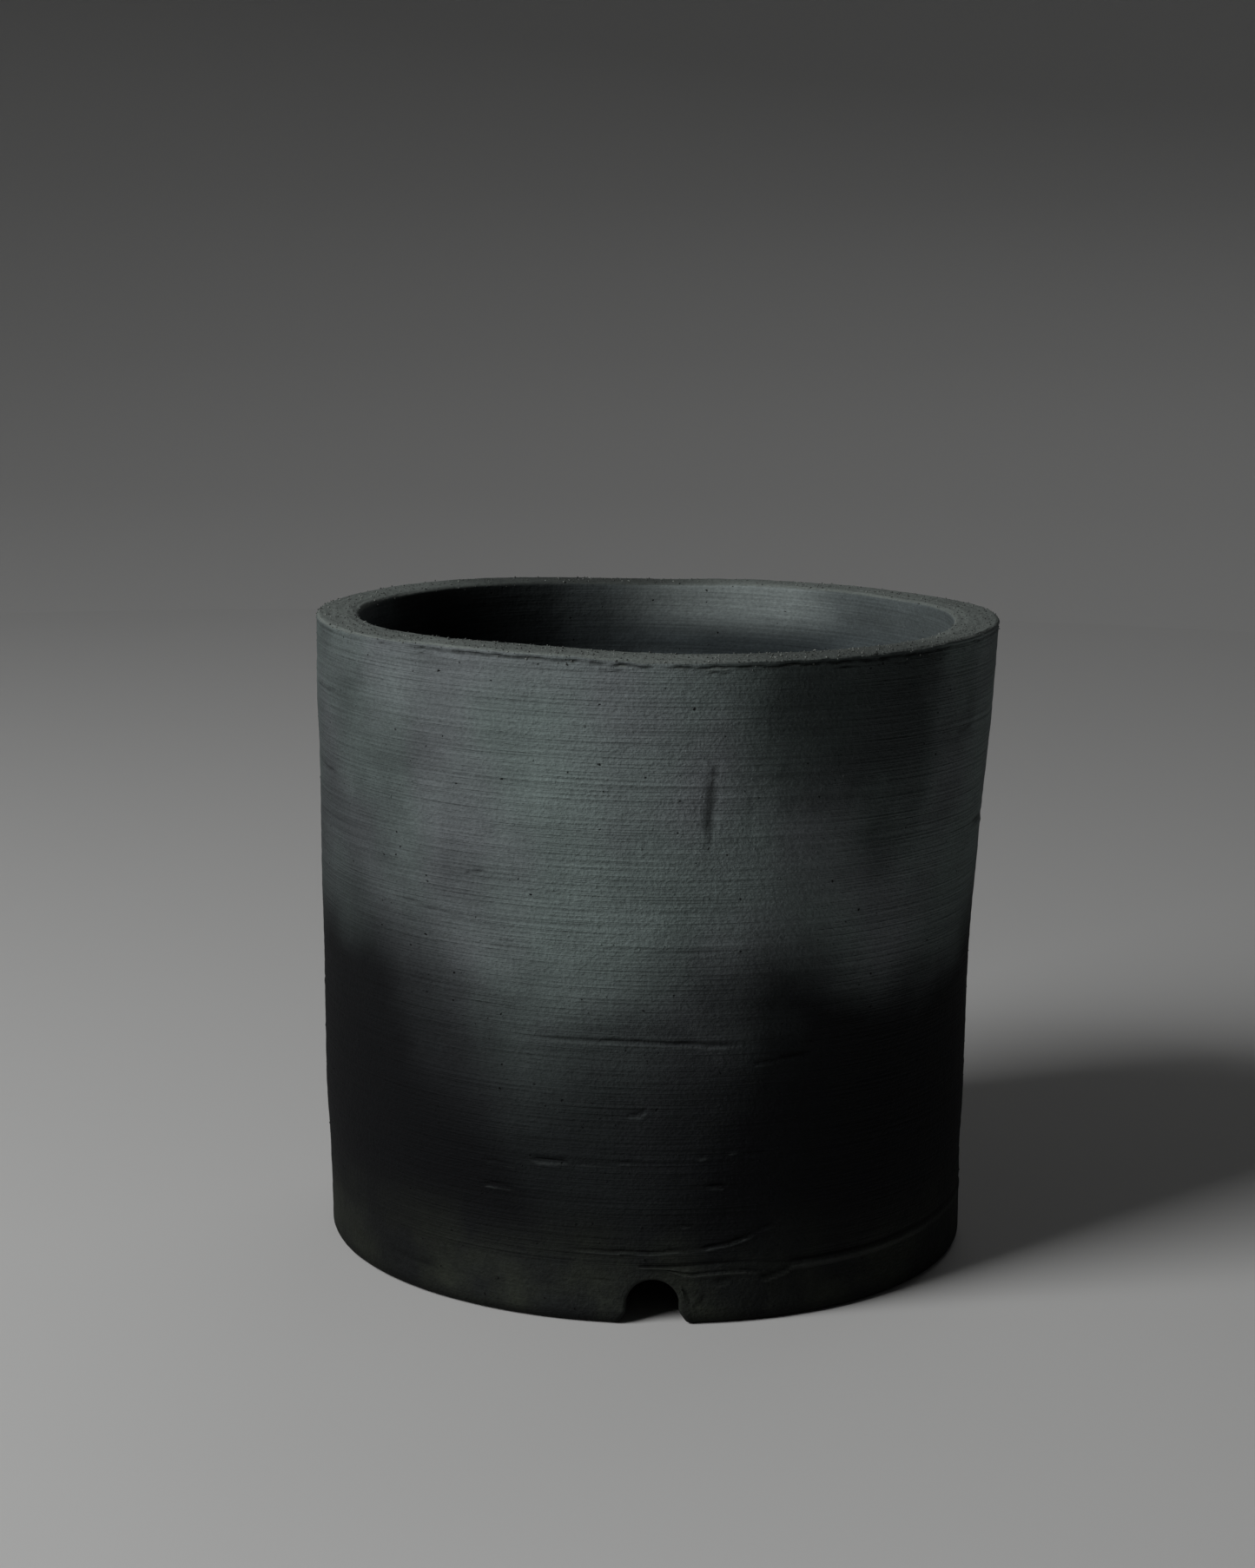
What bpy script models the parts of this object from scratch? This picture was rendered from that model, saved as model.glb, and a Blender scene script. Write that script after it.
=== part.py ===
"""Cylindrical stoneware pot, put together from the clay pieces that a potter joins.

A foot ring with arched notches carries the wall and the raised floor. A coil of clay fills the inside corner
between the floor and the wall, and a second coil locks the foot ring to the underside of the floor.

Units are metres, +Z is up, and the origin is the centre of the foot's resting plane. One notch faces -Y.
"""

import math

import bmesh
import bpy
from mathutils import Matrix, Vector

# Driving dimensions of the whole pot
HEIGHT = 0.0930
RIM_RADIUS = 0.0500
FOOT_RADIUS = 0.0474
FLARE_POWER = 1.5
WALL_THICKNESS = 0.0065

# Clay pieces
FOOT_HEIGHT = 0.0082
FOOT_WIDTH = 0.0105
FLOOR_THICKNESS = 0.0060
FLOOR_REBATE = 0.0008
COIL_SIZE = 0.0045
DRAIN_RADIUS = 0.0050
JOINT_GAP = 0.0003

# Arched notches cut through the foot ring
NOTCH_COUNT = 3
NOTCH_HEIGHT = 0.0065
NOTCH_ARCH_RADIUS = 0.0032
NOTCH_FLARE = 1.25
NOTCH_DEPTH_BELOW = 0.0020

# Softened edges
RIM_BEVEL = 0.0009
FOOT_BEVEL = 0.0011
FLOOR_BEVEL = 0.0003

# Fineness of the turned surfaces
TURN_STEPS = 72
WALL_ROWS = 8
COIL_ARC_POINTS = 5
NOTCH_SEGMENTS = 20
BEVEL_SEGMENTS = 2
MERGE_DISTANCE = 0.00001
SMOOTH_ANGLE = math.radians(35)

# Heights and radii that follow from the sizes above
WALL_BASE = FOOT_HEIGHT + JOINT_GAP
FLOOR_BASE = FOOT_HEIGHT + JOINT_GAP
FLOOR_TOP = FLOOR_BASE + FLOOR_THICKNESS
FOOT_INNER_RADIUS = FOOT_RADIUS - FOOT_WIDTH

# Colours of the fired clay, as linear red, green and blue
SMOKED_CLAY = (0.062, 0.074, 0.073)
CARBON_CLAY = (0.012, 0.013, 0.014)
BARE_CLAY = (0.030, 0.031, 0.029)


def outer_radius(height):
    """Outside radius of the pot at a height: nearly upright low down, flaring towards the rim."""
    return FOOT_RADIUS + (RIM_RADIUS - FOOT_RADIUS) * (height / HEIGHT) ** FLARE_POWER


def inner_radius(height):
    """Inside radius of the wall at a height."""
    return outer_radius(height) - WALL_THICKNESS


def clear_scene():
    """Remove the objects of the startup scene."""
    for item in list(bpy.data.objects):
        bpy.data.objects.remove(item, do_unlink=True)


def new_collection(name):
    """Make a collection in the scene."""
    collection = bpy.data.collections.new(name)
    bpy.context.scene.collection.children.link(collection)
    return collection


def clay(name, colour, roughness):
    """Make a matte fired-clay material."""
    material = bpy.data.materials.new(name)
    material.use_nodes = True
    shader = material.node_tree.nodes["Principled BSDF"]
    shader.inputs["Base Color"].default_value = (*colour, 1.0)
    shader.inputs["Roughness"].default_value = roughness
    shader.inputs["Metallic"].default_value = 0.0
    return material


def add_object(name, mesh, collection, material=None):
    """Link a new object that shows a mesh."""
    item = bpy.data.objects.new(name, mesh)
    collection.objects.link(item)
    if material is not None:
        mesh.materials.append(material)
    return item


def profile_mesh(name, points):
    """Make a mesh that holds only a closed profile, as a ring of edges in the XZ plane."""
    edges = [(i, (i + 1) % len(points)) for i in range(len(points))]
    mesh = bpy.data.meshes.new(name)
    mesh.from_pydata([(radius, 0.0, height) for radius, height in points], edges, [])
    return mesh


def add_turning(item):
    """Turn an object's profile round Z, as on a potter's wheel."""
    turning = item.modifiers.new("Turning", "SCREW")
    turning.axis = "Z"
    turning.steps = TURN_STEPS
    turning.render_steps = TURN_STEPS
    turning.use_merge_vertices = True
    turning.merge_threshold = MERGE_DISTANCE
    turning.use_smooth_shade = True


def add_soft_edges(item, width, segments=BEVEL_SEGMENTS):
    """Round the sharp edges, as a damp sponge does."""
    bevel = item.modifiers.new("Soft edges", "BEVEL")
    bevel.width = width
    bevel.segments = segments
    bevel.limit_method = "ANGLE"
    bevel.angle_limit = SMOOTH_ANGLE


def turned_piece(name, points, collection, material):
    """Make a piece by turning a closed profile of (radius, height) points, listed down the outer side."""
    item = add_object(name, profile_mesh(name, points), collection, material)
    add_turning(item)
    return item


def notch_cutter(name, turn, collection):
    """Make the cutter for one arched notch: a round arch on legs that splay outwards below it."""
    arch_centre = NOTCH_HEIGHT - NOTCH_ARCH_RADIUS
    leg = arch_centre + NOTCH_DEPTH_BELOW
    bm = bmesh.new()
    bmesh.ops.create_cone(
        bm,
        cap_ends=True,
        segments=NOTCH_SEGMENTS,
        radius1=NOTCH_ARCH_RADIUS,
        radius2=NOTCH_ARCH_RADIUS,
        depth=2 * FOOT_WIDTH,
    )
    bmesh.ops.rotate(bm, verts=bm.verts, matrix=Matrix.Rotation(math.pi / 2, 3, "X"))
    for vert in bm.verts:
        if vert.co.z < -MERGE_DISTANCE:
            vert.co.x *= NOTCH_FLARE
            vert.co.z = -leg
    ring_middle = FOOT_RADIUS - FOOT_WIDTH / 2
    bmesh.ops.translate(bm, verts=bm.verts, vec=Vector((0.0, -ring_middle, arch_centre)))
    mesh = bpy.data.meshes.new(name)
    bm.to_mesh(mesh)
    bm.free()
    cutter = add_object(name, mesh, collection)
    cutter.rotation_euler.z = turn
    cutter.hide_render = True
    cutter.display_type = "WIRE"
    return cutter


def make_foot_ring(collection, cutters, material):
    """The ring that the pot stands on, with evenly spaced notches that let air and water out from below."""
    profile = [
        (FOOT_RADIUS, FOOT_HEIGHT),
        (FOOT_RADIUS, 0.0),
        (FOOT_INNER_RADIUS, 0.0),
        (FOOT_INNER_RADIUS, FOOT_HEIGHT),
    ]
    ring = turned_piece("foot_ring", profile, collection, material)
    add_soft_edges(ring, FOOT_BEVEL)
    for index in range(NOTCH_COUNT):
        turn = index * math.tau / NOTCH_COUNT
        cut = ring.modifiers.new(f"Notch {index + 1}", "BOOLEAN")
        cut.operation = "DIFFERENCE"
        cut.solver = "EXACT"
        cut.object = notch_cutter(f"notch_cutter_{index + 1}", turn, cutters)
    return ring


def make_wall(collection, material):
    """The wall: an even thickness of clay that flares to a flat rim with softened edges."""
    rows = [row / WALL_ROWS for row in range(WALL_ROWS + 1)]
    heights = [HEIGHT + (WALL_BASE - HEIGHT) * row for row in rows]
    outside = [(outer_radius(height), height) for height in heights]
    inside = [(inner_radius(height), height) for height in reversed(heights)]
    wall = turned_piece("wall", outside + inside, collection, material)
    add_soft_edges(wall, RIM_BEVEL)
    return wall


def make_floor(collection, material):
    """The raised floor: a disc with a drain hole, let into the wall and resting on the foot ring."""
    edge_radius = inner_radius(WALL_BASE) - JOINT_GAP
    rebate_radius = edge_radius - COIL_SIZE + JOINT_GAP
    profile = [
        (rebate_radius, FLOOR_TOP),
        (rebate_radius, FLOOR_TOP - FLOOR_REBATE),
        (edge_radius, FLOOR_TOP - FLOOR_REBATE),
        (edge_radius, FLOOR_BASE),
        (DRAIN_RADIUS, FLOOR_BASE),
        (DRAIN_RADIUS, FLOOR_TOP),
    ]
    floor = turned_piece("floor", profile, collection, material)
    add_soft_edges(floor, FLOOR_BEVEL, segments=1)
    return floor


def hollow_arc(start, end, centre_radius):
    """Points from start to end along a circle that bulges towards the corner opposite its centre."""
    chord = end - start
    middle = (start + end) / 2
    across = Vector((chord.y, -chord.x)).normalized()
    centre = middle - across * math.sqrt(centre_radius**2 - (chord.length / 2) ** 2)
    first = math.atan2(start.y - centre.y, start.x - centre.x)
    last = math.atan2(end.y - centre.y, end.x - centre.x)
    sweep = (last - first + math.pi) % math.tau - math.pi
    angles = [first + sweep * step / (COIL_ARC_POINTS - 1) for step in range(COIL_ARC_POINTS)]
    return [(centre.x + centre_radius * math.cos(a), centre.y + centre_radius * math.sin(a)) for a in angles]


def make_corner_coil(collection, material):
    """The coil pressed into the corner between the floor and the wall, hollowed by a fingertip."""
    base = FLOOR_TOP - FLOOR_REBATE + JOINT_GAP
    outer = inner_radius(WALL_BASE) - JOINT_GAP
    inner = outer - COIL_SIZE + 2 * JOINT_GAP
    top = base + COIL_SIZE
    lip = FLOOR_TOP + JOINT_GAP
    arc = hollow_arc(Vector((inner, lip)), Vector((outer - JOINT_GAP, top)), COIL_SIZE * 1.1)
    profile = [(outer, top), (outer, base), (inner, base), *arc]
    return turned_piece("corner_coil", profile, collection, material)


def make_foot_coil(collection, material):
    """The coil that locks the foot ring to the underside of the floor."""
    top = FLOOR_BASE - JOINT_GAP
    outer = FOOT_INNER_RADIUS - JOINT_GAP
    inner = outer - COIL_SIZE * 0.7
    low = top - COIL_SIZE * 0.7
    rise = JOINT_GAP * 2
    arc = hollow_arc(Vector((outer - rise, low)), Vector((inner, top - rise)), COIL_SIZE * 0.9)
    profile = [(outer, top), (outer, low), *arc, (inner, top)]
    return turned_piece("foot_coil", profile, collection, material)


def main():
    """Build every clay piece of the pot."""
    clear_scene()
    pot = new_collection("stoneware_pot")
    cutters = new_collection("cutters")
    smoked = clay("smoked_stoneware", SMOKED_CLAY, 0.75)
    carbon = clay("carbon_stoneware", CARBON_CLAY, 0.80)
    bare = clay("bare_stoneware", BARE_CLAY, 0.85)
    make_foot_ring(pot, cutters, bare)
    make_wall(pot, smoked)
    make_floor(pot, carbon)
    make_corner_coil(pot, carbon)
    make_foot_coil(pot, bare)


main()
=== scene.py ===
"""Smoke-fired stoneware pot: the worked clay surfaces of the five pieces that the fixed frame holds.

A foot ring with arched notches, a wall with a rough flat rim, a raised floor with a drain hole and two coils
of clay are turned as plain profiles, and then their skins are worked in small moves: throwing rings, brush
lines, scored marks, finger presses and the warp that drying and firing give. Lengths are in metres and angles
in radians, counted round the pot from the front notch, which faces -Y, towards +X, unless a name or a comment
says millimetres or degrees.
"""

import logging
import math
import random
from dataclasses import dataclass, field
from enum import Enum

import bmesh
import bpy
from mathutils import Matrix, Vector, noise


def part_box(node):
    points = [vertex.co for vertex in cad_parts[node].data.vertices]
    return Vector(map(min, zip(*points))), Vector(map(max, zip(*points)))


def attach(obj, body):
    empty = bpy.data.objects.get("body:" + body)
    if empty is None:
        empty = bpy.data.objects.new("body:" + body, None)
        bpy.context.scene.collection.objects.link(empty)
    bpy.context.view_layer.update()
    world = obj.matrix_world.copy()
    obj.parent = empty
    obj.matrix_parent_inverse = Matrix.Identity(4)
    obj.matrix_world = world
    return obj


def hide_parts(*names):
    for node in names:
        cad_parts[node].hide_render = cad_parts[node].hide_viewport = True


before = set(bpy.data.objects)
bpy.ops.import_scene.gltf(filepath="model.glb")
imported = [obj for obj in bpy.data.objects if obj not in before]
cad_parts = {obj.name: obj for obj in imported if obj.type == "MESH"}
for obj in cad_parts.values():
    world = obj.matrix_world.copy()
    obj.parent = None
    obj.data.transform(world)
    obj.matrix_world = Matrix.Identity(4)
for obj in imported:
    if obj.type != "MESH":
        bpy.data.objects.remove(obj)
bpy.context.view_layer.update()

Point = tuple[float, float]
Knots = tuple[Point, ...]
Spot = tuple[float, float, float]
Socket = bpy.types.NodeSocket
Colour = Socket | tuple[float, float, float, float]

MM = 0.001

# A turned piece is one slice of this many, doubled until it closes, and its seams are merged
SLICES = 16
MERGE_DISTANCE = 0.002 * MM

# Millimetres round the outside in one degree
DEGREE_ARC = 0.84

# The attribute that tells a material how deep a mark cuts or how far it stands out, and the millimetres
# that count as 1
RUB = "rub"
RUB_DEPTH = 0.16

# Edges that turn by more than this stay crisp
SHARP_EDGE = math.radians(50)

# Soot in the pits, and the two colours of the sponged foot
SOOT = "#0a0b0c"
FOOT_BLACK = "#191b1b"
FOOT_OLIVE = "#272a24"

LOG = logging.getLogger("stoneware_pot")


# Small helpers for shapes
# ------------------------


def smooth(low: float, high: float, value: float) -> float:
    """Ease a value from 0 at low to 1 at high.

    Args:
        low: The value that gives 0.
        high: The value that gives 1.
        value: The value to ease.

    Returns:
        A number from 0 to 1.
    """
    share = min(max((value - low) / (high - low), 0.0), 1.0)
    return share * share * (3.0 - 2.0 * share)


def bell(value: float, centre: float, width: float) -> float:
    """A soft hump that is 1 at its centre and fades away over its width."""
    return math.exp(-(((value - centre) / width) ** 2))


def run(start: Point, end: Point, spacing: float) -> list[Point]:
    """Evenly spaced profile points from start up to, but not including, end.

    Args:
        start: First (radius, height) point.
        end: The point where the next stretch starts.
        spacing: Largest distance between points.

    Returns:
        The points of the stretch.
    """
    count = max(1, math.ceil(math.dist(start, end) / spacing))
    return [
        (start[0] + (end[0] - start[0]) * step / count, start[1] + (end[1] - start[1]) * step / count)
        for step in range(count)
    ]


def arc(
    centre: Point, radius: float, first: float, last: float, steps: int
) -> list[Point]:
    """Profile points along a circular arc, both ends included.

    Args:
        centre: The arc's (radius, height) centre.
        radius: The arc's own radius.
        first: Angle of the first point in degrees, 0 outwards and 90 up.
        last: Angle of the last point in degrees.
        steps: Number of segments.

    Returns:
        The points of the arc.
    """
    angles = [math.radians(first + (last - first) * step / steps) for step in range(steps + 1)]
    return [(centre[0] + radius * math.cos(a), centre[1] + radius * math.sin(a)) for a in angles]


def through_knots(knots: Knots, degrees: float) -> float:
    """Read a smooth closed curve round the pot from a few knots.

    Args:
        knots: (degrees, value) pairs in rising order, starting at -180 and ending at 180.
        degrees: Where to read it.

    Returns:
        The eased value between the two nearest knots.
    """
    for (left, low), (right, high) in zip(knots, knots[1:]):
        if left <= degrees <= right:
            return low + (high - low) * smooth(left, right, degrees)
    return knots[0][1]


def turn_profile(profile: list[Point], columns: int) -> bmesh.types.BMesh:
    """Spin a closed profile round Z, as on a potter's wheel.

    One slice is spun, and then doubled until it closes, which is much quicker than one fine full spin.

    Args:
        profile: Closed loop of (radius, height) points.
        columns: Number of steps round the pot, a multiple of SLICES.

    Returns:
        A closed mesh whose faces point outwards.
    """
    bm = bmesh.new()
    loop = [bm.verts.new((0.0, -radius, height)) for radius, height in profile]
    for first, second in zip(loop, loop[1:] + loop[:1]):
        bm.edges.new((first, second))
    turned = math.tau / SLICES
    bmesh.ops.spin(
        bm,
        geom=bm.verts[:] + bm.edges[:],
        cent=(0.0, 0.0, 0.0),
        axis=(0.0, 0.0, 1.0),
        angle=turned,
        steps=columns // SLICES,
        use_merge=False,
        use_duplicate=False,
    )
    while turned < math.tau - 0.001:
        copied = bmesh.ops.duplicate(bm, geom=bm.verts[:] + bm.edges[:] + bm.faces[:])["geom"]
        copied_verts = [part for part in copied if isinstance(part, bmesh.types.BMVert)]
        matrix = Matrix.Rotation(turned, 3, "Z")
        bmesh.ops.rotate(bm, verts=copied_verts, cent=(0.0, 0.0, 0.0), matrix=matrix)
        turned *= 2
    bmesh.ops.remove_doubles(bm, verts=bm.verts[:], dist=MERGE_DISTANCE)
    bmesh.ops.recalc_face_normals(bm, faces=bm.faces[:])
    bm.normal_update()
    return bm


def grain(x: float, y: float, z: float) -> float:
    """Smooth noise from -1 to 1 at a point in space."""
    return noise.noise(Vector((x, y, z)))


# The pot's form
# --------------


@dataclass(frozen=True)
class PotForm:
    """The form that all the pieces share, so that their skins meet.

    The plain form is turned. After that every point goes through place(), which bows and warps the whole pot
    the way a hand-made cylinder does. Each table of knots holds degrees round the pot and a value.
    """

    foot_radius: float
    foot_height: float
    rim_radius: float
    height: float
    floor_base: float
    floor_top: float
    wall_thickness: float = 6.5 * MM
    foot_width: float = 10.5 * MM
    flare: float = 1.5
    front_crowding: float = 0.40
    joint_knots: Knots = (
        (-180, 7.9), (-120, 8.3), (-60, 8.5), (-12, 8.5), (0, 8.45), (14, 8.95), (25, 8.2), (40, 8.25),
        (54, 8.5), (70, 8.95), (100, 8.6), (125, 8.2), (180, 7.9),
    )  # fmt: skip
    open_joint_knots: Knots = (
        (-180, 0.3), (-165, 0.5), (-140, 0.4), (-120, 0.0), (-2.6, 0.0), (-0.8, 1.0), (8, 0.85), (13, 0.5),
        (18, 0.15), (23, 0.3), (27, 1.0), (45, 0.9), (60, 0.6), (96, 0.5), (130, 0.0), (180, 0.3),
    )  # fmt: skip
    rim_knots: Knots = (
        (-180, -0.55), (-140, 0.1), (-105, -0.1), (-70, -0.1), (-26, 0.55), (8, 0.05), (60, -0.1), (96, 0.45),
        (128, 0.05), (155, -0.1), (180, -0.55),
    )  # fmt: skip
    rim_tilt_knots: Knots = (
        (-180, 0.0), (-80, 0.0), (-40, -0.05), (-14, -0.05), (-3, -0.3), (8, -0.1), (30, 0.15), (60, 0.6),
        (110, 0.1), (180, 0.0),
    )  # fmt: skip
    crack_knots: Knots = (
        (-180, 0.35), (-90, 0.45), (-62, 0.15), (-42, 0.35), (-30, 0.9), (-9, 0.75), (-5, 1.0), (-1, 0.1),
        (3, 1.1), (20, 1.1), (36, 0.8), (60, 0.35), (120, 0.6), (180, 0.35),
    )  # fmt: skip

    @classmethod
    def from_frame(cls) -> "PotForm":
        """Read the driving sizes from the fixed frame's solids.

        Returns:
            The pot's form.
        """
        ring_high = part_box("foot_ring")[1]
        wall_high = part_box("wall")[1]
        floor_low, floor_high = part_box("floor")
        return cls(
            foot_radius=ring_high.x,
            foot_height=ring_high.z,
            rim_radius=wall_high.x,
            height=wall_high.z,
            floor_base=floor_low.z,
            floor_top=floor_high.z,
        )

    def outer_radius(self, height: float) -> float:
        """Outside radius of the plain form: a slight swell above the foot, then a flare to the rim.

        Args:
            height: Height above the table.

        Returns:
            The radius.
        """
        flare = (self.rim_radius - self.foot_radius) * (max(height, 0.0) / self.height) ** self.flare
        swell = 0.28 * MM * bell(height, 24 * MM, 10 * MM) + 0.15 * MM * bell(height, 83 * MM, 8 * MM)
        waist = -0.10 * MM * bell(height, 45 * MM, 8 * MM)
        return self.foot_radius + flare + swell + waist

    def inner_radius(self, height: float) -> float:
        """Inside radius of the plain form."""
        return self.outer_radius(height) - self.wall_thickness

    def lean(self, height: float) -> float:
        """How far the pot's belly bows towards -X at a height."""
        return 0.83 * MM * math.exp(-0.5 * ((height - 40 * MM) / (27 * MM)) ** 2)

    def joint_height(self, angle: float) -> float:
        """Height of the joint between foot ring and wall, which wanders round the pot."""
        return through_knots(self.joint_knots, math.degrees(angle)) * MM

    def joint_openness(self, angle: float) -> float:
        """How open the joint is: 1 where it shows as a groove, 0 where it was smeared shut."""
        return through_knots(self.open_joint_knots, math.degrees(angle))

    def rim_rise(self, angle: float) -> float:
        """How far the rim stands above or below its mean height."""
        return through_knots(self.rim_knots, math.degrees(angle)) * MM

    def rim_tilt(self, angle: float) -> float:
        """How far the rim's outer edge stands above or below its inner edge."""
        return through_knots(self.rim_tilt_knots, math.degrees(angle)) * MM

    def place(self, angle: float, radius: float, height: float) -> Vector:
        """Put a point of the plain form where it is on the warped pot.

        Args:
            angle: Angle round the pot.
            radius: Distance from the axis.
            height: Height above the table.

        Returns:
            The point in the frame.
        """
        sine, cosine = math.sin(angle), math.cos(angle)
        rise = height / self.height
        out_of_round = 0.22 * MM * grain(sine * 1.3 + 7.0, cosine * 1.3, rise * 1.8) * min(1.0, rise * 3.0)
        radius += out_of_round * radius / self.foot_radius
        return Vector((radius * sine - self.lean(height), -radius * cosine, height))

    def crowd(self, angle: float) -> float:
        """Move evenly spaced columns towards the front, where the marks are finest."""
        return angle - self.front_crowding * math.sin(angle)


@dataclass(frozen=True)
class Stroke:
    """A line scored in damp clay: a groove, with the clay that it pushed up along its lower edge.

    Ends are (degrees round the pot, millimetres above the table). The other sizes are in millimetres.
    """

    start: Point
    end: Point
    width: float = 0.35
    depth: float = 0.20
    ridge: float = 0.08
    bow: float = 0.0
    wobble: float = 0.20

    def spans(self, low: float, high: float) -> bool:
        """Whether the stroke touches a band of heights in millimetres."""
        bottom, top = sorted((self.start[1], self.end[1]))
        reach = 6.0 * self.width + abs(self.bow)
        return bottom - reach < high and low < top + reach

    def relief(self, along: float, up: float) -> float:
        """Relief that the stroke gives at a place on the unrolled skin.

        Args:
            along: Millimetres round the pot from the front.
            up: Millimetres above the table.

        Returns:
            Millimetres outwards, below zero in the groove.
        """
        start_x, end_x = self.start[0] * DEGREE_ARC, self.end[0] * DEGREE_ARC
        reach = 6.0 * self.width
        if not min(start_x, end_x) - reach < along < max(start_x, end_x) + reach:
            return 0.0
        run_x, run_y = end_x - start_x, self.end[1] - self.start[1]
        length = math.hypot(run_x, run_y)
        share = ((along - start_x) * run_x + (up - self.start[1]) * run_y) / length**2
        across = (up - self.start[1]) * run_x / length - (along - start_x) * run_y / length
        across -= self.bow * math.sin(math.pi * min(max(share, 0.0), 1.0))
        way = share * length
        across += self.wobble * (grain(way / 3.1, start_x, 4.0) + 0.3 * grain(way / 0.8, start_x, 9.0))
        fade = smooth(-0.06, 0.16, share) * (1.0 - smooth(0.72, 1.06, share))
        fade *= 0.72 + 0.38 * smooth(-0.30, 0.35, grain(way / 2.6, start_x, 2.0))
        lower = 1.25 if across < 0.0 else 0.80
        groove = math.exp(-((across / (lower * self.width)) ** 2))
        pushed_up = math.exp(-(((across + 2.0 * self.width) / (0.85 * self.width)) ** 2))
        return fade * (self.ridge * pushed_up - self.depth * groove)


# Finishing a piece
# -----------------


def sponged_relief(point: Vector) -> float:
    """Relief of sponged, gritty clay at a place in millimetres, which both sides of the joint share.

    Args:
        point: The place, in millimetres.

    Returns:
        Millimetres outwards.
    """
    x, y, z = point
    soft = 0.10 * grain(x / 9, y / 9, z / 5) + 0.045 * grain(x / 2.6, y / 2.6, z / 1.4)
    return soft + 0.020 * grain(x / 0.9, y / 0.9, z / 0.8)


def finish_piece(
    bm: bmesh.types.BMesh, name: str, material: bpy.types.Material, replaced: str
) -> bpy.types.Object:
    """Turn a bmesh into a piece that rides on the pot and stands for a solid of the frame.

    Args:
        bm: The finished shape, which is freed.
        name: The piece's name.
        material: Its finish.
        replaced: The frame's node that it stands for.

    Returns:
        The new object.
    """
    for face in bm.faces:
        face.smooth = True
    for edge in bm.edges:
        edge.smooth = edge.calc_face_angle(0.0) < SHARP_EDGE
    mesh = bpy.data.meshes.new(name)
    bm.to_mesh(mesh)
    bm.free()
    mesh.materials.append(material)
    piece = bpy.data.objects.new(name, mesh)
    bpy.context.scene.collection.objects.link(piece)
    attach(piece, "root")
    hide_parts(replaced)
    LOG.info("%s: %d faces, finish %s", name, len(mesh.polygons), material.name)
    return piece


# The wall
# --------


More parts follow.
